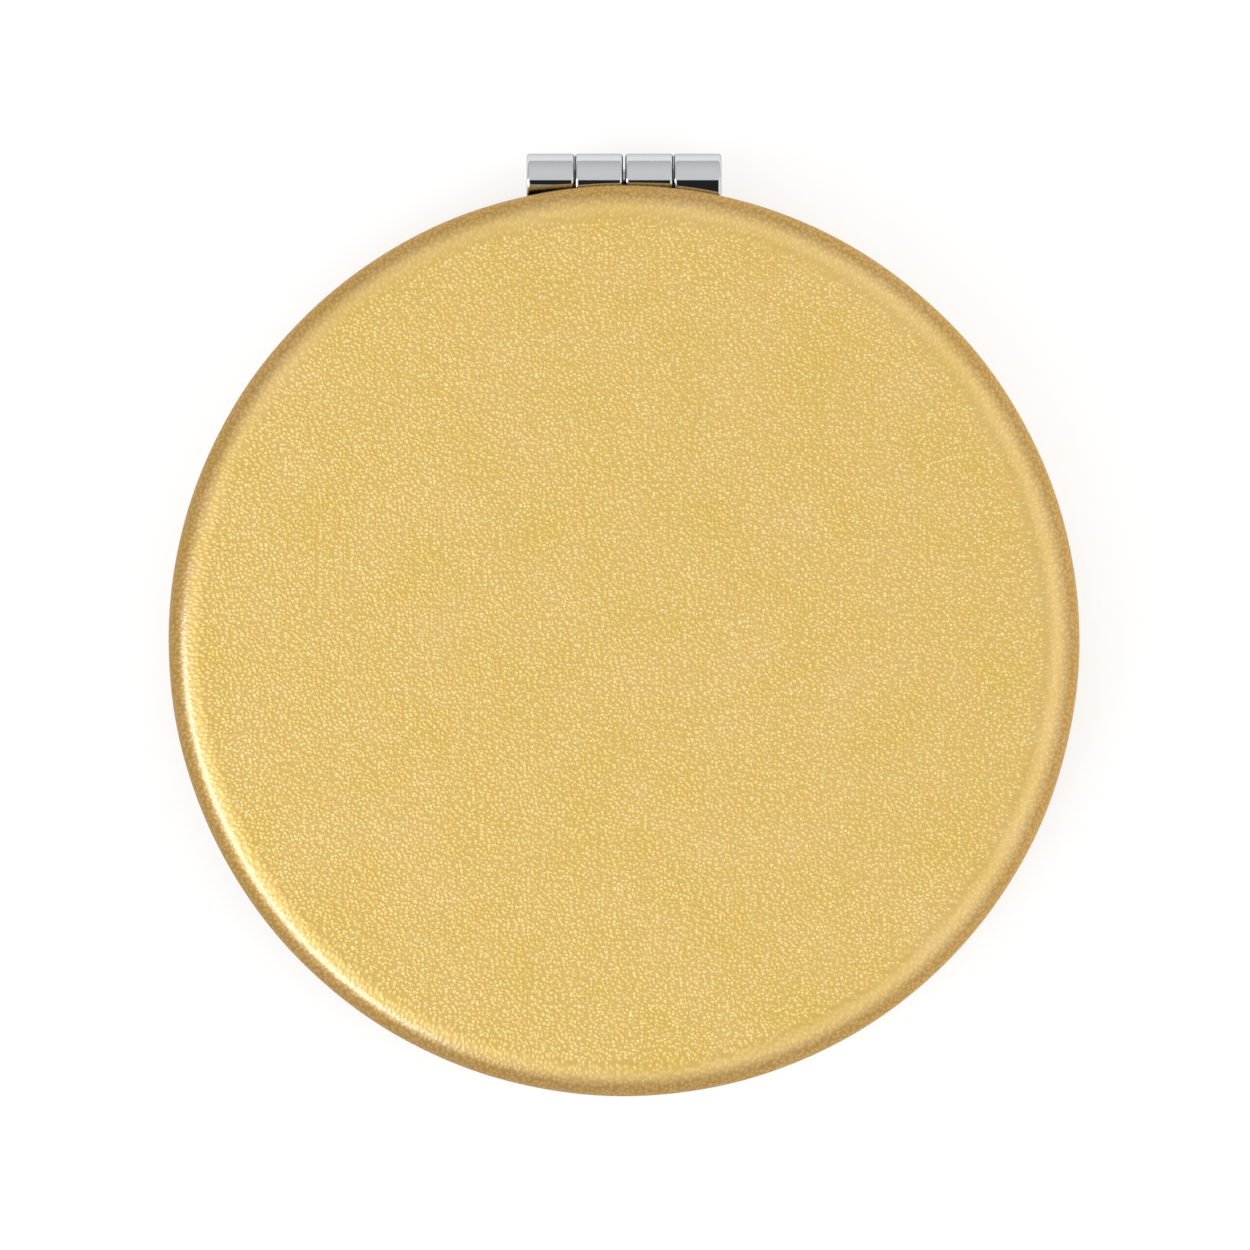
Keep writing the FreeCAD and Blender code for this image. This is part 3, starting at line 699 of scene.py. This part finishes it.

# %% [markdown]
# ### Pearl coated leather
# The cover is split leather with a polyurethane coat that carries gold pearl pigment, embossed with a fine
# pebble grain. The eye sees a soft metallic gold and faint warmer and cooler clouds. Lighter specks on the
# tops of some pebbles are painted glints of the pearl coat. Over the bend the coat is polished to a gloss by
# rubbing and its pearl is thinner, so a lamp draws a pale line there. Below it the stretched side looks
# flatter, and its colour is painted darker as painted shade. An attribute that grows with the bend steers
# all that. The grain reads the skin's own flat map, so it follows the leather.

# %% The pebbles of the grain
PEBBLE = 0.3
WANDER, WANDER_REACH = 0.5, 0.14
DOME_REACH = 0.65
SPECK_REACH, SPECK_CORE, SPECK_RARITY = 0.34, 0.08, 2.0


def pebble_grain(tree, grain_map):
    """Voronoi cells on the flat map, bent a little by noise: a dome on each, and a painted glint on the top
    of some.

    A dome falls off smoothly from the cell's middle to its edge. A glint is smaller, and as strong as a
    random number of its cell to a power, so that few are bright."""
    wander = add_node(tree, "ShaderNodeTexNoise", {"Vector": grain_map, "Scale": 1 / WANDER, "Detail": 1.0})
    shift = add_node(tree, "ShaderNodeVectorMath", {
        0: wander.outputs["Color"], 1: (WANDER_REACH, WANDER_REACH, 0.0),
    }, operation="MULTIPLY")
    warped = add_node(tree, "ShaderNodeVectorMath", {0: grain_map, 1: shift.outputs[0]}, operation="ADD")
    pebbles = add_node(tree, "ShaderNodeTexVoronoi", {
        "Vector": warped.outputs[0], "Scale": 1 / PEBBLE,
    }, feature="F1", voronoi_dimensions="2D").outputs
    dome = add_node(tree, "ShaderNodeMapRange", {
        "Value": pebbles["Distance"], "From Min": DOME_REACH, "From Max": 0.0,
    }, interpolation_type="SMOOTHSTEP").outputs["Result"]
    top = add_node(tree, "ShaderNodeMapRange", {
        "Value": pebbles["Distance"], "From Min": SPECK_REACH, "From Max": SPECK_CORE,
    }, interpolation_type="SMOOTHSTEP").outputs["Result"]
    drawn = add_node(tree, "ShaderNodeSeparateColor", {0: pebbles["Color"]}).outputs[0]
    chance = add_node(tree, "ShaderNodeMath", {0: drawn, 1: SPECK_RARITY}, operation="POWER").outputs[0]
    # Painted highlight: lighter specks on the tops of some pebbles stand in for glints of the pearl coat.
    glint_specks = add_node(tree, "ShaderNodeMath", {0: top, 1: chance}, operation="MULTIPLY").outputs[0]
    return dome, glint_specks


print(f"pebbles of {PEBBLE} mm, about {math.pi * (COVER_RADIUS / PEBBLE) ** 2:.0f} on a cover")

# %% [markdown]
# The colour starts as slow clouds between two golds, with the painted glint specks on them. Over the bend,
# which runs from 0, flat, to 1, upright, the specks fade, painted shade darkens the hollows between the
# pebbles at its start, and the side below is painted darker as shade, darker still in the hollows.

# %% The colours of the leather
CLOUD = 6.0
NOISE_LOW, NOISE_HIGH = 0.3, 0.7
SPECK_END, SPECK_LEFT = 0.15, 0.2
HOLLOW_SHADE_STOPS = [(0.0, grey(0.0)), (0.12, grey(1.0)), (0.3, grey(1.0)), (0.45, grey(0.0))]
SIDE_SHADE_START, SIDE_SHADE_END = 0.12, 0.5


def leather_colour(tree, grain_map, bend, dome, glint_specks):
    """Clouds mixed with painted glint specks by their strength, times two painted shade tints that follow the
    domes.
    """
    cloud = add_node(tree, "ShaderNodeTexNoise", {"Vector": grain_map, "Scale": 1 / CLOUD, "Detail": 3.0})
    clouded = add_node(tree, "ShaderNodeValToRGB", {"Fac": cloud.outputs["Fac"]}, [
        (NOISE_LOW, linear("#DAB963")), (NOISE_HIGH, linear("#DEBD73")),
    ])
    fade = add_node(tree, "ShaderNodeMapRange", {
        "Value": bend, "From Min": 0.0, "From Max": SPECK_END, "To Min": 1.0, "To Max": SPECK_LEFT,
    }).outputs["Result"]
    speck = add_node(tree, "ShaderNodeMath", {0: glint_specks, 1: fade}, operation="MULTIPLY").outputs[0]
    # The specks mixed in here are painted glints, fading over the bend.
    specked = add_node(tree, "ShaderNodeMix", {
        "Factor": speck, 6: clouded.outputs["Color"], 7: linear("#FCEEC6"),
    }, data_type="RGBA")
    # Painted shade: the hollows between the pebbles are a little darker at the start of the bend.
    hollow_shade = add_node(tree, "ShaderNodeMix", {
        "Factor": dome, 6: linear("#F5F3EF"), 7: linear("#FFFFFF"),
    }, data_type="RGBA")
    hollow_shade_reach = add_node(tree, "ShaderNodeValToRGB", {"Fac": bend}, HOLLOW_SHADE_STOPS)
    bent = add_node(tree, "ShaderNodeMix", {
        "Factor": hollow_shade_reach.outputs["Color"], 6: specked.outputs[2], 7: hollow_shade.outputs[2],
    }, data_type="RGBA", blend_type="MULTIPLY")
    # Painted shade: the side below the bend is darker, and darker still in the hollows between the pebbles.
    side_shade_tint = add_node(tree, "ShaderNodeMix", {
        "Factor": dome, 6: linear("#ACA098"), 7: linear("#CABEB8"),
    }, data_type="RGBA")
    side_shade = add_node(tree, "ShaderNodeMapRange", {
        "Value": bend, "From Min": SIDE_SHADE_START, "From Max": SIDE_SHADE_END,
    }, interpolation_type="SMOOTHSTEP").outputs["Result"]
    side_shaded = add_node(tree, "ShaderNodeMix", {
        "Factor": side_shade, 6: bent.outputs[2], 7: side_shade_tint.outputs[2],
    }, data_type="RGBA", blend_type="MULTIPLY")
    return side_shaded.outputs[2]


print("clouds of", CLOUD, "mm, deepest from a bend of", SIDE_SHADE_END)

# %% [markdown]
# The stretched bend is calmer than the face, so the bumps get lower over it. The clear coat fills the grain,
# so its own bump is much lower than the pebbles are.

# %% Pearl coated leather
PEBBLE_HEIGHT, COAT_HEIGHT = 0.046, 0.008
CREASE, CREASE_HEIGHT = 0.2, 0.009
GRAIN_STOPS = [(0.0, grey(1.0)), (0.12, grey(0.66)), (0.42, grey(0.66)), (0.55, grey(0.4))]
GLOSS_STOPS = [(0.06, grey(0.25)), (0.2, grey(1.0)), (0.38, grey(1.0)), (0.5, grey(0.1))]
METAL_START, METAL_END, METAL_FLAT, METAL_BENT = 0.06, 0.25, 0.85, 0.4


def pearl_leather():
    """Noise creases and domes as bumps, with the grain's height, the gloss and the metal set by the bend."""
    material, tree, surface = new_material("pearl_coated_gold_leather")
    grain_map = add_node(tree, "ShaderNodeUVMap", uv_map="grain").outputs["UV"]
    bend = add_node(tree, "ShaderNodeAttribute", attribute_name="bend").outputs["Fac"]
    dome, glint_specks = pebble_grain(tree, grain_map)
    calm = add_node(tree, "ShaderNodeValToRGB", {"Fac": bend}, GRAIN_STOPS).outputs["Color"]
    creases = add_node(tree, "ShaderNodeTexNoise", {"Vector": grain_map, "Scale": 1 / CREASE, "Detail": 2.0})
    creased = add_node(tree, "ShaderNodeBump", {
        "Strength": calm, "Distance": CREASE_HEIGHT * MM, "Height": creases.outputs["Fac"],
    })
    bump = add_node(tree, "ShaderNodeBump", {
        "Strength": calm, "Distance": PEBBLE_HEIGHT * MM, "Height": dome, "Normal": creased.outputs["Normal"],
    })
    coat_bump = add_node(tree, "ShaderNodeBump", {
        "Strength": calm, "Distance": COAT_HEIGHT * MM, "Height": dome,
    })
    gloss = add_node(tree, "ShaderNodeValToRGB", {"Fac": bend}, GLOSS_STOPS)
    metal = add_node(tree, "ShaderNodeMapRange", {
        "Value": bend, "From Min": METAL_START, "From Max": METAL_END,
        "To Min": METAL_FLAT, "To Max": METAL_BENT,
    })
    shader = add_node(tree, "ShaderNodeBsdfPrincipled", {
        "Base Color": leather_colour(tree, grain_map, bend, dome, glint_specks),
        "Metallic": metal.outputs["Result"], "Roughness": 0.48,
        "Specular Tint": linear("#E8CB80"), "Normal": bump.outputs["Normal"],
        "Coat Weight": gloss.outputs["Color"], "Coat Roughness": 0.25, "Coat IOR": 1.7,
        "Coat Normal": coat_bump.outputs["Normal"],
    })
    tree.links.new(shader.outputs[0], surface)
    return material


dress(list(skins.values()), pearl_leather())

# %% [markdown]
# ### Bright chrome plate
# Trays and hinge are pressed and rolled brass, polished and plated with nickel and a thin layer of chrome.
# The eye sees almost only reflections. Hand polishing leaves the surface a little wavy, which makes the edges
# of reflections wander, so a very low bump with waves of about a millimetre is enough. The ends where the
# knuckles face each other are painted dark, as painted shade of the narrow gaps, which draws the lines
# between them.

# %% Bright chrome plate
POLISH_WAVE, POLISH_HEIGHT = 1.3, 0.0012
SMUDGE, SMUDGE_LOW, SMUDGE_HIGH = 6.0, 0.3, 0.8
CHROME_CLEAN, CHROME_SMUDGED = 0.02, 0.045


def chrome_plate():
    """Noise waves on Object coordinates, as long as the polishing waves and a thousandth as high.

    The attribute that marks the knuckles' facing ends mixes the plate's colour with a dark brown, as
    painted shade of the narrow gaps between them."""
    material, tree, surface = new_material("polished_chrome_plate")
    place = add_node(tree, "ShaderNodeTexCoord").outputs["Object"]
    waves = add_node(tree, "ShaderNodeTexNoise", {"Vector": place, "Scale": 1 / (POLISH_WAVE * MM)})
    bump = add_node(tree, "ShaderNodeBump", {
        "Strength": 1.0, "Distance": POLISH_HEIGHT * MM, "Height": waves.outputs["Fac"],
    })
    smudge = add_node(tree, "ShaderNodeTexNoise", {
        "Vector": place, "Scale": 1 / (SMUDGE * MM), "Detail": 3.0,
    })
    rough = add_node(tree, "ShaderNodeMapRange", {
        "Value": smudge.outputs["Fac"], "From Min": SMUDGE_LOW, "From Max": SMUDGE_HIGH,
        "To Min": CHROME_CLEAN, "To Max": CHROME_SMUDGED,
    })
    # Painted shade: the knuckles' facing ends are darkened for the shade in the narrow gaps between them.
    gap_shade = add_node(tree, "ShaderNodeAttribute", attribute_name="gap_shade").outputs["Fac"]
    colour = add_node(tree, "ShaderNodeMix", {
        "Factor": gap_shade, 6: linear("#D0D1D3"), 7: linear("#3A3733"),
    }, data_type="RGBA")
    shader = add_node(tree, "ShaderNodeBsdfPrincipled", {
        "Base Color": colour.outputs[2], "Metallic": 1.0, "Roughness": rough.outputs["Result"],
        "Specular Tint": linear("#D8D9DB"), "Normal": bump.outputs["Normal"],
    })
    tree.links.new(shader.outputs[0], surface)
    return material


dress(trays + knuckles + plates, chrome_plate())

# %% [markdown]
# ### Silvered glass
# A mirror is float glass with silver behind it. The eye sees a bright reflection with a faint green cast,
# which comes from the light's two ways through the glass. Nothing else may show, so the surface is all
# metal to the shader, with a roughness near nothing that dust and wiping vary a little.

# %% Silvered glass
WIPING, WIPING_LOW, WIPING_HIGH = 9.0, 0.35, 0.75
GLASS_CLEAN, GLASS_WIPED = 0.004, 0.02


def silvered_glass():
    """A greenish white metal, with wiping marks of a few millimetres in its roughness."""
    material, tree, surface = new_material("silvered_float_glass")
    place = add_node(tree, "ShaderNodeTexCoord").outputs["Object"]
    wiping = add_node(tree, "ShaderNodeTexNoise", {
        "Vector": place, "Scale": 1 / (WIPING * MM), "Detail": 4.0,
    })
    rough = add_node(tree, "ShaderNodeMapRange", {
        "Value": wiping.outputs["Fac"], "From Min": WIPING_LOW, "From Max": WIPING_HIGH,
        "To Min": GLASS_CLEAN, "To Max": GLASS_WIPED,
    })
    shader = add_node(tree, "ShaderNodeBsdfPrincipled", {
        "Base Color": linear("#EEF3F0"), "Metallic": 1.0, "Roughness": rough.outputs["Result"],
    })
    tree.links.new(shader.outputs[0], surface)
    return material


dress(list(mirrors.values()), silvered_glass())

# %% [markdown]
# ### Hidden metals, foam and tape
# The other pieces show only in a gap or when the compact is taken apart: the pressed steel shells, rivets,
# magnets and the pin, the foam and the adhesive discs. Each still gets its own colour and surface. They
# share one recipe, a noise that varies colour and roughness and gives a low bump, with different numbers.
# The marks of rolling and drawing on the metals are finer than a picture shows, so they are drawn coarser.

# %% Plainer materials
ROUGHNESS_SPREAD = 0.15


def plain_material(name, dark, light, metallic, roughness, grain, height, stretch=(1.0, 1.0, 1.0)):
    """Noise of the given grain in millimetres mixes two colours, shifts the roughness and lifts a bump."""
    material, tree, surface = new_material(name)
    place = add_node(tree, "ShaderNodeTexCoord").outputs["Object"]
    mapped = add_node(tree, "ShaderNodeMapping", {"Vector": place, "Scale": stretch})
    speckle = add_node(tree, "ShaderNodeTexNoise", {
        "Vector": mapped.outputs["Vector"], "Scale": 1 / (grain * MM), "Detail": 3.0,
    }).outputs["Fac"]
    colour = add_node(tree, "ShaderNodeValToRGB", {"Fac": speckle}, [
        (NOISE_LOW, linear(dark)), (NOISE_HIGH, linear(light)),
    ])
    rough = add_node(tree, "ShaderNodeMapRange", {
        "Value": speckle,
        "To Min": roughness * (1 - ROUGHNESS_SPREAD), "To Max": roughness * (1 + ROUGHNESS_SPREAD),
    })
    bump = add_node(tree, "ShaderNodeBump", {"Strength": 1.0, "Distance": height * MM, "Height": speckle})
    shader = add_node(tree, "ShaderNodeBsdfPrincipled", {
        "Base Color": colour.outputs["Color"], "Metallic": metallic, "Roughness": rough.outputs["Result"],
        "Normal": bump.outputs["Normal"],
    })
    tree.links.new(shader.outputs[0], surface)
    return material


def both_halves(kind):
    """The CAD nodes of one kind in the lid and in the base."""
    return [frame["nodes"][half + "_" + kind] for half in ("lid", "base")]


dress(foam_discs, plain_material(
    "open_cell_polyurethane_foam", "#D8D2C2", "#F0ECE0",
    metallic=0.0, roughness=0.95, grain=0.35, height=0.08,
))
dress(both_halves("mirror_tape"), plain_material(
    "white_foam_tape", "#DAD9D4", "#ECEBE6", metallic=0.0, roughness=0.8, grain=0.3, height=0.03,
))
dress(both_halves("shell"), plain_material(
    "pressed_tinned_steel", "#B5B7B8", "#C9CBCC", metallic=1.0, roughness=0.35, grain=0.6, height=0.002,
))
dress(rivets, plain_material(
    "headed_rivet_steel", "#C4C6C8", "#D4D6D8", metallic=1.0, roughness=0.2, grain=0.3, height=0.002,
))
dress(both_halves("magnet"), plain_material(
    "nickel_plated_magnet", "#B9B6AE", "#CFCCC4", metallic=1.0, roughness=0.25, grain=0.4, height=0.001,
))
dress([frame["nodes"]["hinge_pin"]], plain_material(
    "drawn_steel_wire", "#B0B2B5", "#C6C8CB",
    metallic=1.0, roughness=0.2, grain=0.08, height=0.001, stretch=(0.05, 1.0, 1.0),
))

# %% [markdown]
# ## The studio
# The compact lies on white paper in a tent of white cloth, brightest above and behind, with a second bright
# patch on the near right side, where light comes in through the cloth. The cloth hangs in soft folds, which
# mirrors show as a slow change of light. One dark flag hangs on the near side, like the black card that a
# photographer holds beside the camera: the hinge shows it as the dark line under its bright barrel. It keeps
# clear of the zenith, so that mirrors seen from straight above stay bright.

# %% The cloth's brightness
BRIGHT_SIDE, BRIGHT_FROM, BRIGHT_TO = (0.35, 0.45, 1.2), -0.5, 1.27
CLOTH_DIM, CLOTH_BRIGHT = 0.45, 1.09
FILL_SIDE, FILL_FROM, FILL_TO, FILL_LEVEL = (0.65, -0.45, 0.61), 0.62, 1.0, 0.4
world = bpy.data.worlds.new("studio_dome")
scene.world = world
world.use_nodes = True
sky = world.node_tree
sky.nodes.clear()
direction = add_node(sky, "ShaderNodeTexCoord").outputs["Generated"]
leaning = add_node(sky, "ShaderNodeVectorMath", {0: direction, 1: BRIGHT_SIDE}, operation="DOT_PRODUCT")
lean = add_node(sky, "ShaderNodeMapRange", {
    "Value": leaning.outputs["Value"], "From Min": BRIGHT_FROM, "From Max": BRIGHT_TO,
    "To Min": CLOTH_DIM, "To Max": CLOTH_BRIGHT,
}).outputs["Result"]
filling = add_node(sky, "ShaderNodeVectorMath", {0: direction, 1: FILL_SIDE}, operation="DOT_PRODUCT")
fill = add_node(sky, "ShaderNodeMapRange", {
    "Value": filling.outputs["Value"], "From Min": FILL_FROM, "From Max": FILL_TO,
    "To Min": 0.0, "To Max": FILL_LEVEL,
}, interpolation_type="SMOOTHSTEP").outputs["Result"]
bright = add_node(sky, "ShaderNodeMath", {0: lean, 1: fill}, operation="ADD").outputs[0]
print("cloth from", CLOTH_DIM, "to", CLOTH_BRIGHT, "bright, patch", FILL_LEVEL, "brighter")

# %% [markdown]
# The folds are a sine round the tent. They fade out near the zenith, and also straight ahead and behind,
# where the hinge would show them.

# %% The folds of the cloth
FOLDS, FOLD_DEPTH = 26, 0.2
FOLD_AHEAD, FOLD_ASIDE = 0.03, 0.2
FOLD_TOP, FOLD_FOOT = 0.95, 0.6
along = add_node(sky, "ShaderNodeSeparateXYZ", {0: direction}).outputs
sideways = add_node(sky, "ShaderNodeMath", {0: along["X"]}, operation="ABSOLUTE").outputs[0]
around = add_node(sky, "ShaderNodeMath", {0: along["Y"], 1: along["X"]}, operation="ARCTAN2").outputs[0]
turned = add_node(sky, "ShaderNodeMath", {0: around, 1: FOLDS}, operation="MULTIPLY").outputs[0]
wave = add_node(sky, "ShaderNodeMath", {0: turned}, operation="SINE").outputs[0]
beside = add_node(sky, "ShaderNodeMapRange", {
    "Value": sideways, "From Min": FOLD_AHEAD, "From Max": FOLD_ASIDE, "To Min": 0.0, "To Max": FOLD_DEPTH,
}, interpolation_type="SMOOTHSTEP").outputs["Result"]
depth = add_node(sky, "ShaderNodeMapRange", {
    "Value": along["Z"], "From Min": FOLD_TOP, "From Max": FOLD_FOOT, "To Min": 0.0, "To Max": beside,
}, interpolation_type="SMOOTHSTEP").outputs["Result"]
folds = add_node(sky, "ShaderNodeMath", {0: wave, 1: depth, 2: 1.0}, operation="MULTIPLY_ADD").outputs[0]
cloth = add_node(sky, "ShaderNodeMath", {0: bright, 1: folds}, operation="MULTIPLY").outputs[0]
print(FOLDS, "folds round the tent")

# %% The flag
FLAG_HALF_WIDTH, FLAG_SOFTNESS = 0.16, 0.005
FLAG_FOOT, FLAG_TOP = -0.65, -0.09
FLAG_LEVEL = 0.03
narrow = add_node(sky, "ShaderNodeMapRange", {
    "Value": sideways,
    "From Min": FLAG_HALF_WIDTH + FLAG_SOFTNESS, "From Max": FLAG_HALF_WIDTH - FLAG_SOFTNESS,
}).outputs["Result"]
above_foot = add_node(sky, "ShaderNodeMath", {0: along["Y"], 1: FLAG_FOOT}, operation="GREATER_THAN")
below_top = add_node(sky, "ShaderNodeMath", {0: along["Y"], 1: FLAG_TOP}, operation="LESS_THAN")
between = add_node(sky, "ShaderNodeMath", {
    0: above_foot.outputs[0], 1: below_top.outputs[0],
}, operation="MULTIPLY").outputs[0]
flag = add_node(sky, "ShaderNodeMath", {0: narrow, 1: between}, operation="MULTIPLY").outputs[0]
flagged = add_node(sky, "ShaderNodeMix", {"Factor": flag, "A": cloth, "B": FLAG_LEVEL})
background = add_node(sky, "ShaderNodeBackground", {"Strength": flagged.outputs[0]})
add_node(sky, "ShaderNodeOutputWorld", {"Surface": background.outputs[0]})
print("dome of", len(sky.nodes), "nodes with one flag")

# %% [markdown]
# A broad lamp stands low on the left, towards the viewer, and draws the pale line along the cover's left
# edge. A weaker one above it softens that line's inner side. Two reflector cards at the right and behind
# brighten the cover's side there. Matte cards give no glint, so gloss doesn't see them.

# %% The lamps
LAMP_DISTANCE = 1.4


def soft_lamp(name, azimuth, elevation, width, height, power):
    """A rectangular lamp that looks at the compact from an azimuth and an elevation in degrees."""
    lamp_data = bpy.data.lights.new(name, "AREA")
    lamp_data.shape = "RECTANGLE"
    lamp_data.size, lamp_data.size_y = width, height
    lamp_data.energy = power
    lamp = bpy.data.objects.new(name, lamp_data)
    scene.collection.objects.link(lamp)
    around, up = math.radians(azimuth), math.radians(elevation)
    lamp.location = (
        LAMP_DISTANCE * math.cos(up) * math.cos(around),
        LAMP_DISTANCE * math.cos(up) * math.sin(around),
        LAMP_DISTANCE * math.sin(up),
    )
    lamp.rotation_euler = (math.pi / 2 - up, 0.0, around + math.pi / 2)
    return lamp


soft_lamp("key_lamp", azimuth=211.0, elevation=31.0, width=1.55, height=0.32, power=16.5)
soft_lamp("top_lamp", azimuth=213.0, elevation=62.0, width=1.2, height=0.7, power=1.2)
cards = [
    soft_lamp("right_card", azimuth=350.0, elevation=10.0, width=1.6, height=0.2, power=30.0),
    soft_lamp("back_card", azimuth=95.0, elevation=5.0, width=1.6, height=0.2, power=22.0),
]
for card in cards:
    card.visible_glossy = False

# %% [markdown]
# The floor is matte paper. To show as clean white, as in the photograph, the paper adds a little light of
# its own for camera, glossy and transmission rays only. It lights nothing, so the compact's soft shadow stays
# and metal and mirrors see the same white.

# %% The floor
FLOOR_HALF_SIZE = 3.0
FLOOR_DROP = 0.00002
FLOOR_GLOW, PAPER_LEVEL = 0.58, 0.4
corners = np.array([[[-1, -1, 0], [1, -1, 0]], [[-1, 1, 0], [1, 1, 0]]]) * FLOOR_HALF_SIZE
floor = mesh_from_grid("studio_floor", corners - np.array([0, 0, FLOOR_DROP]), wrap_columns=False)
paper, tree, surface = new_material("matte_white_paper")
path = add_node(tree, "ShaderNodeLightPath").outputs
direct = add_node(tree, "ShaderNodeMath", {
    0: path["Is Camera Ray"], 1: path["Is Glossy Ray"],
}, operation="ADD")
seen = add_node(tree, "ShaderNodeMath", {
    0: direct.outputs[0], 1: path["Is Transmission Ray"],
}, operation="ADD", use_clamp=True)
matte = add_node(tree, "ShaderNodeBsdfDiffuse", {"Color": grey(PAPER_LEVEL)})
glow_level = add_node(tree, "ShaderNodeMath", {0: seen.outputs[0], 1: FLOOR_GLOW}, operation="MULTIPLY")
glow = add_node(tree, "ShaderNodeEmission", {"Strength": glow_level.outputs[0]})
both = add_node(tree, "ShaderNodeAddShader", {0: matte.outputs[0], 1: glow.outputs[0]})
tree.links.new(both.outputs[0], surface)
dress([floor], paper)

# %% [markdown]
# ## Finish
# Colours should come out as they are written, so the view transform is Standard.

# %% Finish
scene.view_settings.view_transform = "Standard"
